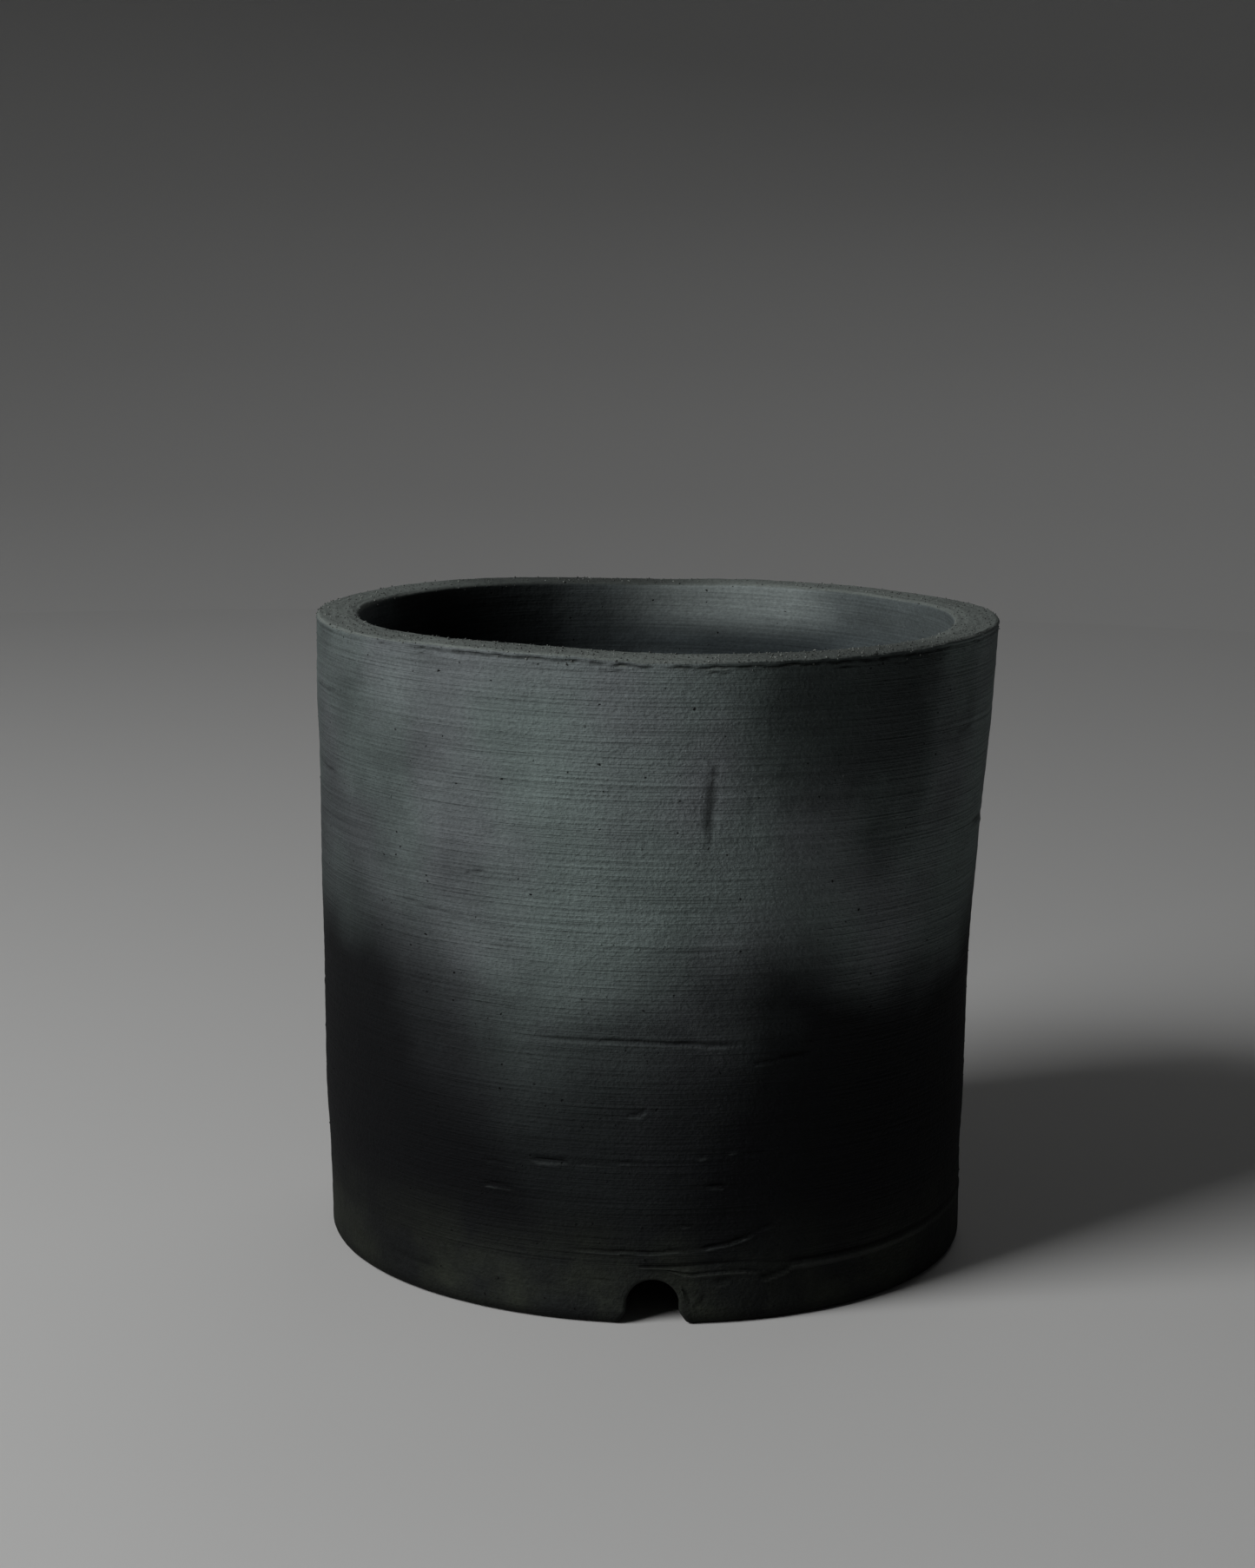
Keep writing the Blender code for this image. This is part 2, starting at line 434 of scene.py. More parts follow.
@dataclass
class Wall:
    """The thrown cylinder, with its brushed outside, rough cut rim and soft throwing rings inside."""

    form: PotForm
    columns: int = 352
    row_bands: Knots = (
        (11.6, 0.25), (17.4, 0.44), (25.2, 0.34), (37, 0.46), (41.6, 0.28), (89, 0.48), (94, 0.25),
    )  # fmt: skip
    inner_row: float = 2.6 * MM
    rim_row: float = 0.26 * MM
    outer_edge: float = 0.6 * MM
    inner_edge: float = 0.8 * MM
    joint_gap: float = 0.003 * MM
    joint_reach: float = 14.0 * MM
    rim_reach: float = 16.0 * MM
    seed: int = 11
    marks: dict[int, list[Stroke]] = field(default_factory=dict)

    def __post_init__(self) -> None:
        """Score the marks of the front, and a few like them round the rest of the pot."""
        marks = [
            Stroke((-18.5, 40.6), (17.5, 39.7), width=0.30, depth=0.27, ridge=0.22, bow=0.45),
            Stroke((-30.0, 41.6), (-14.0, 41.2), width=0.22, depth=0.08, ridge=0.06),
            Stroke((-26.0, 38.4), (-6.0, 38.9), width=0.20, depth=0.08, ridge=0.06),
            Stroke((-20.0, 23.3), (-13.0, 23.3), width=0.26, depth=0.36, ridge=0.28),
            Stroke((-13.0, 23.3), (2.4, 23.6), width=0.20, depth=0.15, ridge=0.14),
            Stroke((-28.6, 22.1), (-22.0, 22.1), width=0.22, depth=0.16, ridge=0.16),
            Stroke((-28.8, 18.6), (-22.6, 18.8), width=0.24, depth=0.28, ridge=0.24),
            Stroke((9.2, 20.1), (12.5, 20.0), width=0.24, depth=0.30, ridge=0.24),
            Stroke((16.0, 24.5), (19.4, 24.6), width=0.24, depth=0.18, ridge=0.16),
            Stroke((12.6, 25.1), (14.4, 25.4), width=0.30, depth=0.06, ridge=0.20),
            Stroke((7.4, 24.3), (9.4, 24.6), width=0.28, depth=0.08, ridge=0.20),
            Stroke((-4.2, 30.3), (-0.8, 31.3), width=0.34, depth=0.28, ridge=0.26, bow=-0.3),
            Stroke((16.6, 37.2), (21.6, 37.5), width=0.24, depth=0.18, ridge=0.14),
            Stroke((21.2, 37.8), (27.6, 38.0), width=0.30, depth=0.22, ridge=0.06),
            Stroke((8.3, 79.6), (7.9, 66.0), width=0.42, depth=0.18, ridge=0.05, wobble=0.10),
            Stroke((8.2, 76.6), (7.8, 69.0), width=0.85, depth=0.15, ridge=0.02, wobble=0.10),
            Stroke((14.7, 76.0), (14.3, 68.5), width=0.45, depth=0.06, ridge=0.02),
            Stroke((-13.4, 10.4), (9.0, 10.6), width=0.22, depth=0.24, ridge=0.18),
            Stroke((8.2, 10.6), (17.4, 12.5), width=0.26, depth=0.30, ridge=0.22, bow=-0.35),
            Stroke((16.0, 12.2), (21.2, 14.2), width=0.24, depth=0.18, ridge=0.12),
            Stroke((1.2, 14.3), (7.4, 14.2), width=0.22, depth=0.16, ridge=0.14),
            Stroke((-47.0, 57.3), (-31.0, 56.0), width=0.30, depth=0.12, ridge=0.06),
            Stroke((-32.4, 62.1), (-28.0, 63.0), width=0.28, depth=0.20, ridge=0.10, bow=0.3),
            Stroke((-31.0, 60.6), (-4.0, 59.0), width=0.22, depth=0.09, ridge=0.06),
            Stroke((-8.0, 53.8), (14.0, 52.9), width=0.22, depth=0.11, ridge=0.08),
            Stroke((-12.0, 77.4), (16.0, 77.9), width=0.22, depth=0.08, ridge=0.04),
        ]
        dice = random.Random(self.seed)
        for _ in range(34):
            start = (dice.uniform(48.0, 280.0), 12.0 + 72.0 * dice.random() ** 1.4)
            length = dice.uniform(3.0, 20.0)
            end = (start[0] + length, start[1] + dice.uniform(-0.5, 0.5))
            depth = dice.uniform(0.08, 0.24)
            marks.append(Stroke(start, end, dice.uniform(0.28, 0.40), depth, depth * 0.7))
        for band in range(math.ceil(self.form.height / MM) + 2):
            self.marks[band] = [mark for mark in marks if mark.spans(band, band + 1)]

    def row_heights(self, low: float, high: float) -> list[float]:
        """Heights of the outside's rows from low to high, closer together where the marks are fine.

        Args:
            low: Height of the first row.
            high: Height that the last row stays under.

        Returns:
            The rising heights.
        """
        heights, height = [], low
        while height < high - 0.12 * MM:
            heights.append(height)
            height += next(spacing for top, spacing in self.row_bands if height < top * MM) * MM
        return heights

    def profile(self) -> list[Point]:
        """The wall's closed profile, up the outside, over the rim, down the inside and back along the base.

        Returns:
            The (radius, height) points of a closed loop.
        """
        form = self.form
        base = form.foot_height + self.joint_gap
        out_top = form.height - self.outer_edge
        in_top = form.height - self.inner_edge
        outside = [(form.outer_radius(height), height) for height in self.row_heights(base, out_top)]
        over = arc((form.outer_radius(out_top) - self.outer_edge, out_top), self.outer_edge, 0, 90, 5)
        inner = arc((form.inner_radius(in_top) + self.inner_edge, in_top), self.inner_edge, 90, 180, 4)
        flat = run(over[-1], inner[0], self.rim_row)[1:]
        rows = math.ceil((in_top - base) / self.inner_row)
        down = [in_top - (in_top - base) * step / rows for step in range(1, rows + 1)]
        inside = [(form.inner_radius(height), height) for height in down]
        under = run(inside[-1], outside[0], 1.6 * MM)[1:]
        return outside + over + flat + inner + inside + under

    def outside_relief(self, angle: float, point: Vector, up: float) -> float:
        """Relief of the outer skin: throwing swells, brush lines and grit.

        Args:
            angle: Angle round the pot.
            point: The skin's plain place, in millimetres.
            up: Height in millimetres.

        Returns:
            Millimetres outwards.
        """
        x, y, z = point
        tilted = z + 0.016 * x
        swells = 0.10 * grain(x / 30, y / 30, tilted / 8.5) + 0.16 * grain(x / 34 + 5, y / 34, z / 26)
        patch = 0.75 + 0.6 * grain(x / 16 + 31, y / 16, z / 11)
        bold = 1.0 - 0.45 * (1.0 - smooth(24.0, 46.0, up))
        broad_lines = grain(x / 26, y / 26, tilted / 1.25 + 40)
        short_lines = grain(x / 9 + 3, y / 9, tilted / 0.95)
        combed = grain(x / 38 + 9, y / 38, tilted / 2.0)
        lines = patch * bold * (0.046 * broad_lines + 0.040 * short_lines + 0.034 * combed)
        grit = 0.032 * grain(x / 1.1, y / 1.1, z / 1.0) + 0.022 * grain(x / 2.1, y / 2.1 + 3, z / 1.7)
        along = math.degrees(angle) * DEGREE_ARC
        dent = -0.16 * bell(along, -4.2, 3.2) * bell(up, 29.6, 1.7)
        brushed = swells + lines + grit + dent
        above = smooth(0.0, 4.5, up - self.form.foot_height / MM)
        return sponged_relief(point) * (1.0 - above) + brushed * above

    def scored_relief(self, angle: float, up: float) -> float:
        """Relief of the scored marks near a place.

        Args:
            angle: Angle round the pot.
            up: Height in millimetres.

        Returns:
            Millimetres outwards, below zero in a groove.
        """
        along = math.degrees(angle) * DEGREE_ARC
        near = self.marks[int(up)]
        scored = sum(mark.relief(along, up) for mark in near)
        if angle < 0:
            scored += sum(mark.relief(along + 360 * DEGREE_ARC, up) for mark in near)
        return scored

    def joint_relief(self, angle: float, up: float) -> float:
        """The groove above the foot ring: open on the right, smeared shut on the left.

        Args:
            angle: Angle round the pot.
            up: Height in millimetres.

        Returns:
            Millimetres outwards, below zero in the groove.
        """
        open_joint = self.form.joint_openness(angle)
        above = up - self.form.foot_height / MM
        return -0.36 * open_joint * bell(above, 0.0, 0.36) + 0.05 * open_joint * bell(above, 1.4, 0.7)

    def rim_relief(self, angle: float, radius: float, point: Vector) -> float:
        """Relief of the cut rim: ridges that the wire dragged along it, and torn grit.

        Args:
            angle: Angle round the pot.
            radius: Distance from the axis.
            point: The skin's plain place, in millimetres.

        Returns:
            Millimetres upwards.
        """
        x, y, z = point
        along = math.degrees(angle) * DEGREE_ARC
        drag = 0.085 * grain(along / 7.5, radius / MM / 0.62, 3.0)
        drag += 0.05 * grain(along / 3.0, radius / MM / 0.4, 9.0)
        torn = 0.055 * grain(x / 1.15, y / 1.15, z) + 0.05 * grain(x / 0.55, y / 0.55 + 8, z)
        return drag + torn

    def burr(self, angle: float, up: float) -> float:
        """The lip of clay that the wire left along the rim's outer edge, with a torn crack under it.

        Args:
            angle: Angle round the pot.
            up: Height in millimetres.

        Returns:
            Millimetres outwards, below zero in the crack.
        """
        along = math.degrees(angle) * DEGREE_ARC
        ragged = 0.26 * grain(along / 3.1, 3.0, 1.0) + 0.16 * grain(along / 1.2, 8.0, 2.0)
        broken = 0.45 + 0.9 * smooth(-0.35, 0.3, grain(along / 1.6, 6.0, 3.0))
        crack = through_knots(self.form.crack_knots, math.degrees(angle)) + 0.5 * grain(along / 4.0, 5.0, 5.0)
        crack = min(max(crack * broken, 0.0), 1.2)
        edge = (self.form.height - self.outer_edge) / MM + ragged
        flaked = smooth(0.02, 0.35, grain(along / 4.6, 2.0, 7.0)) * min(crack * 1.5, 1.0)
        flake = edge - 1.05 + 0.3 * grain(along / 2.2, 4.0, 4.0)
        lip = (0.05 + 0.12 * crack) * bell(up, edge + 0.22, 0.24)
        lip += 0.07 * flaked * bell(up, flake + 0.35, 0.22)
        return lip - 0.32 * crack * bell(up, edge - 0.28, 0.20) - 0.17 * flaked * bell(up, flake, 0.17)

    def inside_relief(self, angle: float, point: Vector, up: float) -> float:
        """Relief of the inner skin: broad soft throwing rings that climb in a spiral, and slip lines.

        Args:
            angle: Angle round the pot.
            point: The skin's plain place, in millimetres.
            up: Height in millimetres.

        Returns:
            Millimetres into the pot.
        """
        x, y, z = point
        spiral = 0.20 * math.sin(math.tau * (z + 9.4 * angle / math.tau) / 9.4) * smooth(16.0, 26.0, up)
        soft = 0.22 * grain(x / 24, y / 24, z / 7.0)
        lines = 0.04 * grain(x / 12, y / 12, z / 3.0)
        return spiral + soft + lines

    def build(self) -> bmesh.types.BMesh:
        """Turn the wall and work its skin.

        Returns:
            The finished shape.
        """
        form = self.form
        bm = turn_profile(self.profile(), self.columns)
        rub = bm.verts.layers.float.new(RUB)
        rim_middle = form.rim_radius - form.wall_thickness / 2
        for vert in bm.verts:
            radius, height = math.hypot(vert.co.x, vert.co.y), vert.co.z
            angle = form.crowd(math.atan2(vert.co.x, -vert.co.y))
            outward = Vector((vert.co.x / radius, vert.co.y / radius, 0.0))
            facing_out, facing_up = vert.normal.dot(outward), vert.normal.z
            up = height / MM
            point = Vector((math.sin(angle), -math.cos(angle), 0.0)) * (radius / MM)
            point.z = up
            lift = 0.0
            if facing_out > 0.1:
                cut = self.scored_relief(angle, up) + self.joint_relief(angle, up) + self.burr(angle, up)
                lift += facing_out * (self.outside_relief(angle, point, up) + cut)
                vert[rub] = min(max(cut / RUB_DEPTH, -1.0), 1.0)
            elif facing_out < -0.1:
                lift += -facing_out * self.inside_relief(angle, point, up)
            if facing_up > 0.1:
                torn = self.rim_relief(angle, radius, point)
                lift += facing_up * torn
                vert[rub] += facing_up * min(max(torn / RUB_DEPTH, -0.6), 0.3)
            radius += lift * facing_out * MM
            height += lift * max(facing_up, 0.0) * MM
            at_joint = 1.0 - smooth(0.0, self.joint_reach, height - form.foot_height)
            height += at_joint * (form.joint_height(angle) - form.foot_height)
            at_rim = smooth(form.height - self.rim_reach, form.height, height)
            across = (radius - rim_middle) / form.wall_thickness + 0.5
            tilt = form.rim_tilt(angle) * across * smooth(form.height - 5 * MM, form.height, height)
            height += at_rim * form.rim_rise(angle) + tilt
            vert.co = form.place(angle, radius, height)
        bm.normal_update()
        return bm

    def dress(self, material: bpy.types.Material) -> bpy.types.Object:
        """Build the wall and give it its finish."""
        return finish_piece(self.build(), "thrown_wall", material, "wall")


# The foot ring
# -------------


@dataclass
class FootRing:
    """The ring under the pot, with three arched notches whose edges were softened with a wet finger."""

    form: PotForm
    columns: int = 720
    row: float = 0.40 * MM
    base_edge: float = 1.4 * MM
    notch_count: int = 3
    notch_top: float = 6.5 * MM
    notch_shift: float = 0.22 * MM
    arch_radius: float = 3.7 * MM
    leg_splay: float = 0.85 * MM
    corner_radius: float = 1.15 * MM
    notch_reach: float = 9.5 * MM
    notch_edge_share: float = 0.42
    corner_steps: int = 12
    arch_steps: int = 40
    outline: list[Vector] = field(default_factory=list)

    def __post_init__(self) -> None:
        """Draw the notch's outline once, for every column to read."""
        self.outline = self.notch_outline()

    def profile(self) -> list[Point]:
        """The ring's closed profile, down the outside, along the base, up the inside and back along the top.

        Returns:
            The (radius, height) points of a closed loop.
        """
        form = self.form
        edge, outer, inner = self.base_edge, form.foot_radius, form.foot_radius - form.foot_width
        rows = math.ceil((form.foot_height - edge) / self.row)
        heights = [form.foot_height + (edge - form.foot_height) * row / rows for row in range(rows)]
        outside = [(form.outer_radius(height), height) for height in heights]
        toe = arc((outer - edge, edge), edge, 0, -90, 7)
        heel = arc((inner + edge, edge), edge, -90, -180, 5)
        base = run(toe[-1], heel[0], 0.8 * MM)[1:]
        inside = run(heel[-1], (inner, form.foot_height), 1.1 * MM)[1:]
        top = run((inner, form.foot_height), outside[0], 1.5 * MM)
        return outside + toe + base + heel + inside + top

    def notch_outline(self) -> list[Vector]:
        """The base line's path over one notch: flat, round the corner, up a leg, over the arch and down.

        Returns:
            Points as (along, up), in metres, from left to right.
        """
        centre = self.notch_top - self.arch_radius
        foot_x = self.arch_radius + self.leg_splay
        lean = math.atan2(self.leg_splay, centre)
        turn = math.pi / 2 - lean
        set_back = self.corner_radius * math.tan(turn / 2)
        corner_x = foot_x + set_back
        flat = self.notch_reach - corner_x
        steps = self.corner_steps
        half = [Vector((-self.notch_reach + flat * step / steps, 0.0)) for step in range(steps)]
        for step in range(steps + 1):
            a = turn * step / steps
            x = -corner_x + self.corner_radius * math.sin(a)
            half.append(Vector((x, self.corner_radius * (1 - math.cos(a)))))
        for step in range(1, self.arch_steps + 1):
            a = math.pi + lean - (math.pi / 2 + lean) * step / self.arch_steps
            half.append(Vector((self.arch_radius * math.cos(a), centre + self.arch_radius * math.sin(a))))
        return half + [Vector((-point.x, point.y)) for point in reversed(half[:-1])]

    def read_outline(self, share: float) -> tuple[Vector, Vector]:
        """Read the notch's outline by its length.

        Args:
            share: 0 at the left end, 1 at the right end.

        Returns:
            The point, as (along, up), and the direction from it into the clay.
        """
        lengths = [(b - a).length for a, b in zip(self.outline, self.outline[1:])]
        left = share * sum(lengths)
        for (a, b), length in zip(zip(self.outline, self.outline[1:]), lengths):
            if left <= length:
                direction = (b - a).normalized()
                return a + direction * left, Vector((-direction.y, direction.x))
            left -= length
        return self.outline[-1].copy(), Vector((0.0, 1.0))

    def into_notch(self, along: float, height: float, top: float) -> Point:
        """Bend the ring's base up into a notch.

        Args:
            along: Metres round the pot from the notch's middle, at the point's own radius.
            height: Height on the plain ring.
            top: Height of the ring's top edge there.

        Returns:
            The point's new (along, height).
        """
        form, edge = self.form, self.base_edge
        outline, into_clay = Vector((along, 0.0)), Vector((0.0, 1.0))
        if abs(along) < self.notch_reach:
            outline, into_clay = self.read_outline(0.5 + 0.5 * along / self.notch_reach)
            settled = smooth(0.6 * self.notch_reach, self.notch_reach, abs(along))
            outline.x += self.notch_shift * (1.0 - settled)
        shoulder = edge * self.edge_share(along)
        if height <= edge:
            point = outline + into_clay * shoulder * height / edge
            return point.x, point.y
        share = (height - edge) / (form.foot_height - edge)
        point = (outline + into_clay * shoulder).lerp(Vector((along, top)), share)
        return point.x, point.y

    def edge_share(self, along: float) -> float:
        """The share of the base's rounding that is left along a notch's crisper edges."""
        inside = 1.0 - smooth(0.45 * self.notch_reach, 0.80 * self.notch_reach, abs(along))
        return 1.0 - (1.0 - self.notch_edge_share) * inside

    def cut_relief(self, angle: float, up: float) -> float:
        """Relief of the lip and groove at the joint, and of the scored marks.

        Args:
            angle: Angle round the pot.
            up: Height in millimetres.

        Returns:
            Millimetres outwards, below zero in a groove.
        """
        below = up - self.form.foot_height / MM
        open_joint = self.form.joint_openness(angle)
        lip = 0.22 * open_joint * bell(below, -0.75, 0.55)
        groove = -0.36 * open_joint * bell(below, 0.0, 0.36)
        along = math.degrees(angle) * DEGREE_ARC
        marks = (
            Stroke((0.6, 7.1), (20.4, 7.2), width=0.26, depth=0.24, ridge=0.18, bow=0.1),
            Stroke((18.4, 6.2), (24.6, 8.0), width=0.34, depth=0.26, ridge=0.22, bow=-0.35),
            Stroke((10.4, 5.6), (13.6, 6.4), width=0.40, depth=0.20, ridge=0.16),
            Stroke((5.6, 4.9), (6.6, 3.0), width=0.30, depth=0.16, ridge=0.12),
            Stroke((9.0, 4.4), (7.6, 2.6), width=0.36, depth=0.14, ridge=0.10),
            Stroke((-14.0, 6.4), (-6.0, 6.3), width=0.24, depth=0.10, ridge=0.08),
            Stroke((-52.0, 5.0), (-38.0, 4.4), width=0.45, depth=0.10, ridge=0.04),
            Stroke((28.0, 4.6), (47.0, 5.2), width=0.4, depth=0.07, ridge=0.03),
        )
        return lip + groove + sum(mark.relief(along, up) for mark in marks)

    def build(self) -> bmesh.types.BMesh:
        """Turn the ring, work its skin and open its notches.

        Returns:
            The finished shape.
        """
        form = self.form
        bm = turn_profile(self.profile(), self.columns)
        rub = bm.verts.layers.float.new(RUB)
        notch_turn = math.tau / self.notch_count
        middle = form.foot_radius - form.foot_width / 2
        for vert in bm.verts:
            radius, height = math.hypot(vert.co.x, vert.co.y), vert.co.z
            angle = math.atan2(vert.co.x, -vert.co.y)
            nearest = round(angle / notch_turn) * notch_turn
            along = (angle - nearest) * radius
            share = self.edge_share(along)
            depth = abs(radius - middle)
            flat_half = form.foot_width / 2 - self.base_edge
            if height < self.base_edge and depth > flat_half:
                kept = form.foot_width / 2 - self.base_edge * share
                depth = kept + (depth - flat_half) * share
                radius = middle + math.copysign(depth, radius - middle)
            outward = Vector((vert.co.x, vert.co.y, 0.0)).normalized()
            facing_out = vert.normal.dot(outward)
            top = form.joint_height(angle)
            new_along, new_height = self.into_notch(along, height, top)
            angle = nearest + new_along / radius
            point = Vector((outward.x * radius / MM, outward.y * radius / MM, height / MM))
            if facing_out > 0.1:
                cut = self.cut_relief(angle, height / MM)
                radius += facing_out * (sponged_relief(point) + cut) * MM
                vert[rub] = min(max(cut / RUB_DEPTH, -1.0), 1.0)
            else:
                wet = 0.16 * grain(point.x / 3.4, point.y / 3.4, point.z / 3.4 + 4)
                radius += facing_out * wet * MM
                if height < self.base_edge:
                    sponged = 1.0 + grain(point.x / 2.1, point.y / 2.1, 6.0)
                    new_height += 0.09 * MM * sponged * (1 - facing_out)
            vert.co = form.place(angle, radius, new_height)
        bm.normal_update()
        return bm

    def dress(self, material: bpy.types.Material) -> bpy.types.Object:
        """Build the ring and give it its finish."""
        return finish_piece(self.build(), "notched_foot_ring", material, "foot_ring")


# The floor and the coils
# -----------------------


@dataclass
class Floor:
    """The raised floor: a throwing spiral on top, trimming rings below and a sponged drain hole."""

    form: PotForm
    columns: int = 256
    drain_radius: float = 5.0 * MM
    hole_edge: float = 0.9 * MM
    spiral_pitch: float = 4.6 * MM
    edge_gap: float = 0.05 * MM

    def profile(self) -> list[Point]:
        """The disc's closed profile, in along the top, down the hole and out along the underside.

        Returns:
            The (radius, height) points of a closed loop.
        """
        form, edge = self.form, self.hole_edge
        rim = form.inner_radius(form.floor_base) - self.edge_gap
        lip_top = arc((self.drain_radius + edge, form.floor_top - edge), edge, 90, 180, 4)
        lip_base = arc((self.drain_radius + edge, form.floor_base + edge), edge, 180, 270, 4)
        over = run((rim, form.floor_top), lip_top[0], 0.62 * MM)
        hole = run(lip_top[-1], lip_base[0], 0.8 * MM)[1:]
        under = run(lip_base[-1], (rim, form.floor_base), 0.7 * MM)[1:]
        side = run((rim, form.floor_base), (rim, form.floor_top), 1.5 * MM)
        return over + lip_top + hole + lip_base + under + side

    def top_relief(self, angle: float, radius: float, point: Vector) -> float:
        """Relief of the upper face: a one-armed finger spiral that dies out at the hole and the coil.

        Args:
            angle: Angle round the pot.
            radius: Distance from the axis.
            point: The place on the face, in millimetres.

        Returns:
            Millimetres upwards.
        """
        swirl = math.sin(math.tau * radius / self.spiral_pitch - angle)
        fade = smooth(7 * MM, 12 * MM, radius) * (1.0 - 0.7 * smooth(30 * MM, 38 * MM, radius))
        relief = 0.17 * swirl * fade + 0.10 * grain(point.x / 6, point.y / 6, 2.0)
        return relief + 0.02 * grain(point.x, point.y, 5.0)

    def under_relief(self, radius: float, point: Vector) -> float:
        """Millimetres down on the underside: rings left by a trimming tool, and torn grit."""
        rings = 0.05 * math.sin(math.tau * radius / (1.7 * MM))
        return rings + 0.08 * grain(point.x / 5, point.y / 5, 11.0) + 0.03 * grain(point.x, point.y, 1.0)

    def build(self) -> bmesh.types.BMesh:
        """Turn the floor and work its faces.

        Returns:
            The finished shape.
        """
        form = self.form
        bm = turn_profile(self.profile(), self.columns)
        for vert in bm.verts:
            radius, height = math.hypot(vert.co.x, vert.co.y), vert.co.z
            angle = math.atan2(vert.co.x, -vert.co.y)
            point = Vector((vert.co.x / MM, vert.co.y / MM, 0.0))
            if vert.normal.z > 0.3:
                height += self.top_relief(angle, radius, point) * vert.normal.z * MM
            elif vert.normal.z < -0.3:
                height += self.under_relief(radius, point) * vert.normal.z * MM
            elif radius < 2 * self.drain_radius:
                radius += 0.18 * MM * grain(point.x / 3, point.y / 3, height / MM / 3)
            vert.co = form.place(angle, radius, height)
        bm.normal_update()
        return bm

    def dress(self, material: bpy.types.Material) -> bpy.types.Object:
        """Build the floor and give it its finish."""
        return finish_piece(self.build(), "raised_floor", material, "floor")


@dataclass
class Coil:
    """A coil of clay pressed into a corner with a fingertip."""

    form: PotForm
    name: str
    node: str
    slot: str
    corner: Point
    size: float
    upwards: bool
    presses: int
    press_depth: float = 0.32
    columns: int = 352
    feather: float = 0.18 * MM
    bury: float = 0.25 * MM

    def profile(self) -> list[Point]:
        """The coil's closed profile: two buried sides in the corner and a hollow face between two thin edges.

        Returns:
            The (radius, height) points of a closed loop.
        """
        radius, height = self.corner
        sign = 1.0 if self.upwards else -1.0
        outer, seat = radius + self.bury, height - sign * self.bury
        inner, far = radius - self.size, height + sign * self.size
        face = arc((inner, far), self.size, -90 * sign, 0.0, 16)
        face = [(r - self.feather * 0.5, z + sign * self.feather * 0.5) for r, z in face]
        side = run((outer, far), (outer, seat), 1.2 * MM)
        under = run((outer, seat), (inner - self.feather, seat), 1.2 * MM)
        return side + under + [(inner - self.feather, seat), *face]

    def build(self) -> bmesh.types.BMesh:
        """Turn the coil and press it round with a fingertip.

        Returns:
            The finished shape.
        """
        form = self.form
        bm = turn_profile(self.profile(), self.columns)
        corner_r, corner_z = self.corner
        for vert in bm.verts:
            radius, height = math.hypot(vert.co.x, vert.co.y), vert.co.z
            angle = math.atan2(vert.co.x, -vert.co.y)
            outward = Vector((vert.co.x / radius, vert.co.y / radius, 0.0))
            facing_in = -vert.normal.dot(outward)
            facing_out_of_corner = facing_in + abs(vert.normal.z)
            in_face = radius < corner_r and abs(height - corner_z) > self.feather
            if in_face and facing_in > 0.05 and facing_out_of_corner > 1.0:
                wobble = 0.7 * grain(math.cos(angle) * 3, math.sin(angle) * 3, 2.0)
                press = abs(math.sin(angle * self.presses / 2 + wobble)) ** 0.7
                point = vert.co / MM
                soft = 0.14 * grain(point.x / 2.5, point.y / 2.5, point.z / 2.5)
                lift = (soft - self.press_depth * (press - 0.6)) * MM
                radius -= facing_in * lift
                height += vert.normal.z * lift
            vert.co = form.place(angle, radius, height)
        bm.normal_update()
        return bm

    def dress(self, material: bpy.types.Material) -> bpy.types.Object:
        """Build the coil and give it its finish."""
        return finish_piece(self.build(), self.name, material, self.node)


# Grog
# ----


class Seat(Enum):
    """Where grains of grog stand proud of the clay."""

    RIM = "rim"
    SKIN = "skin"


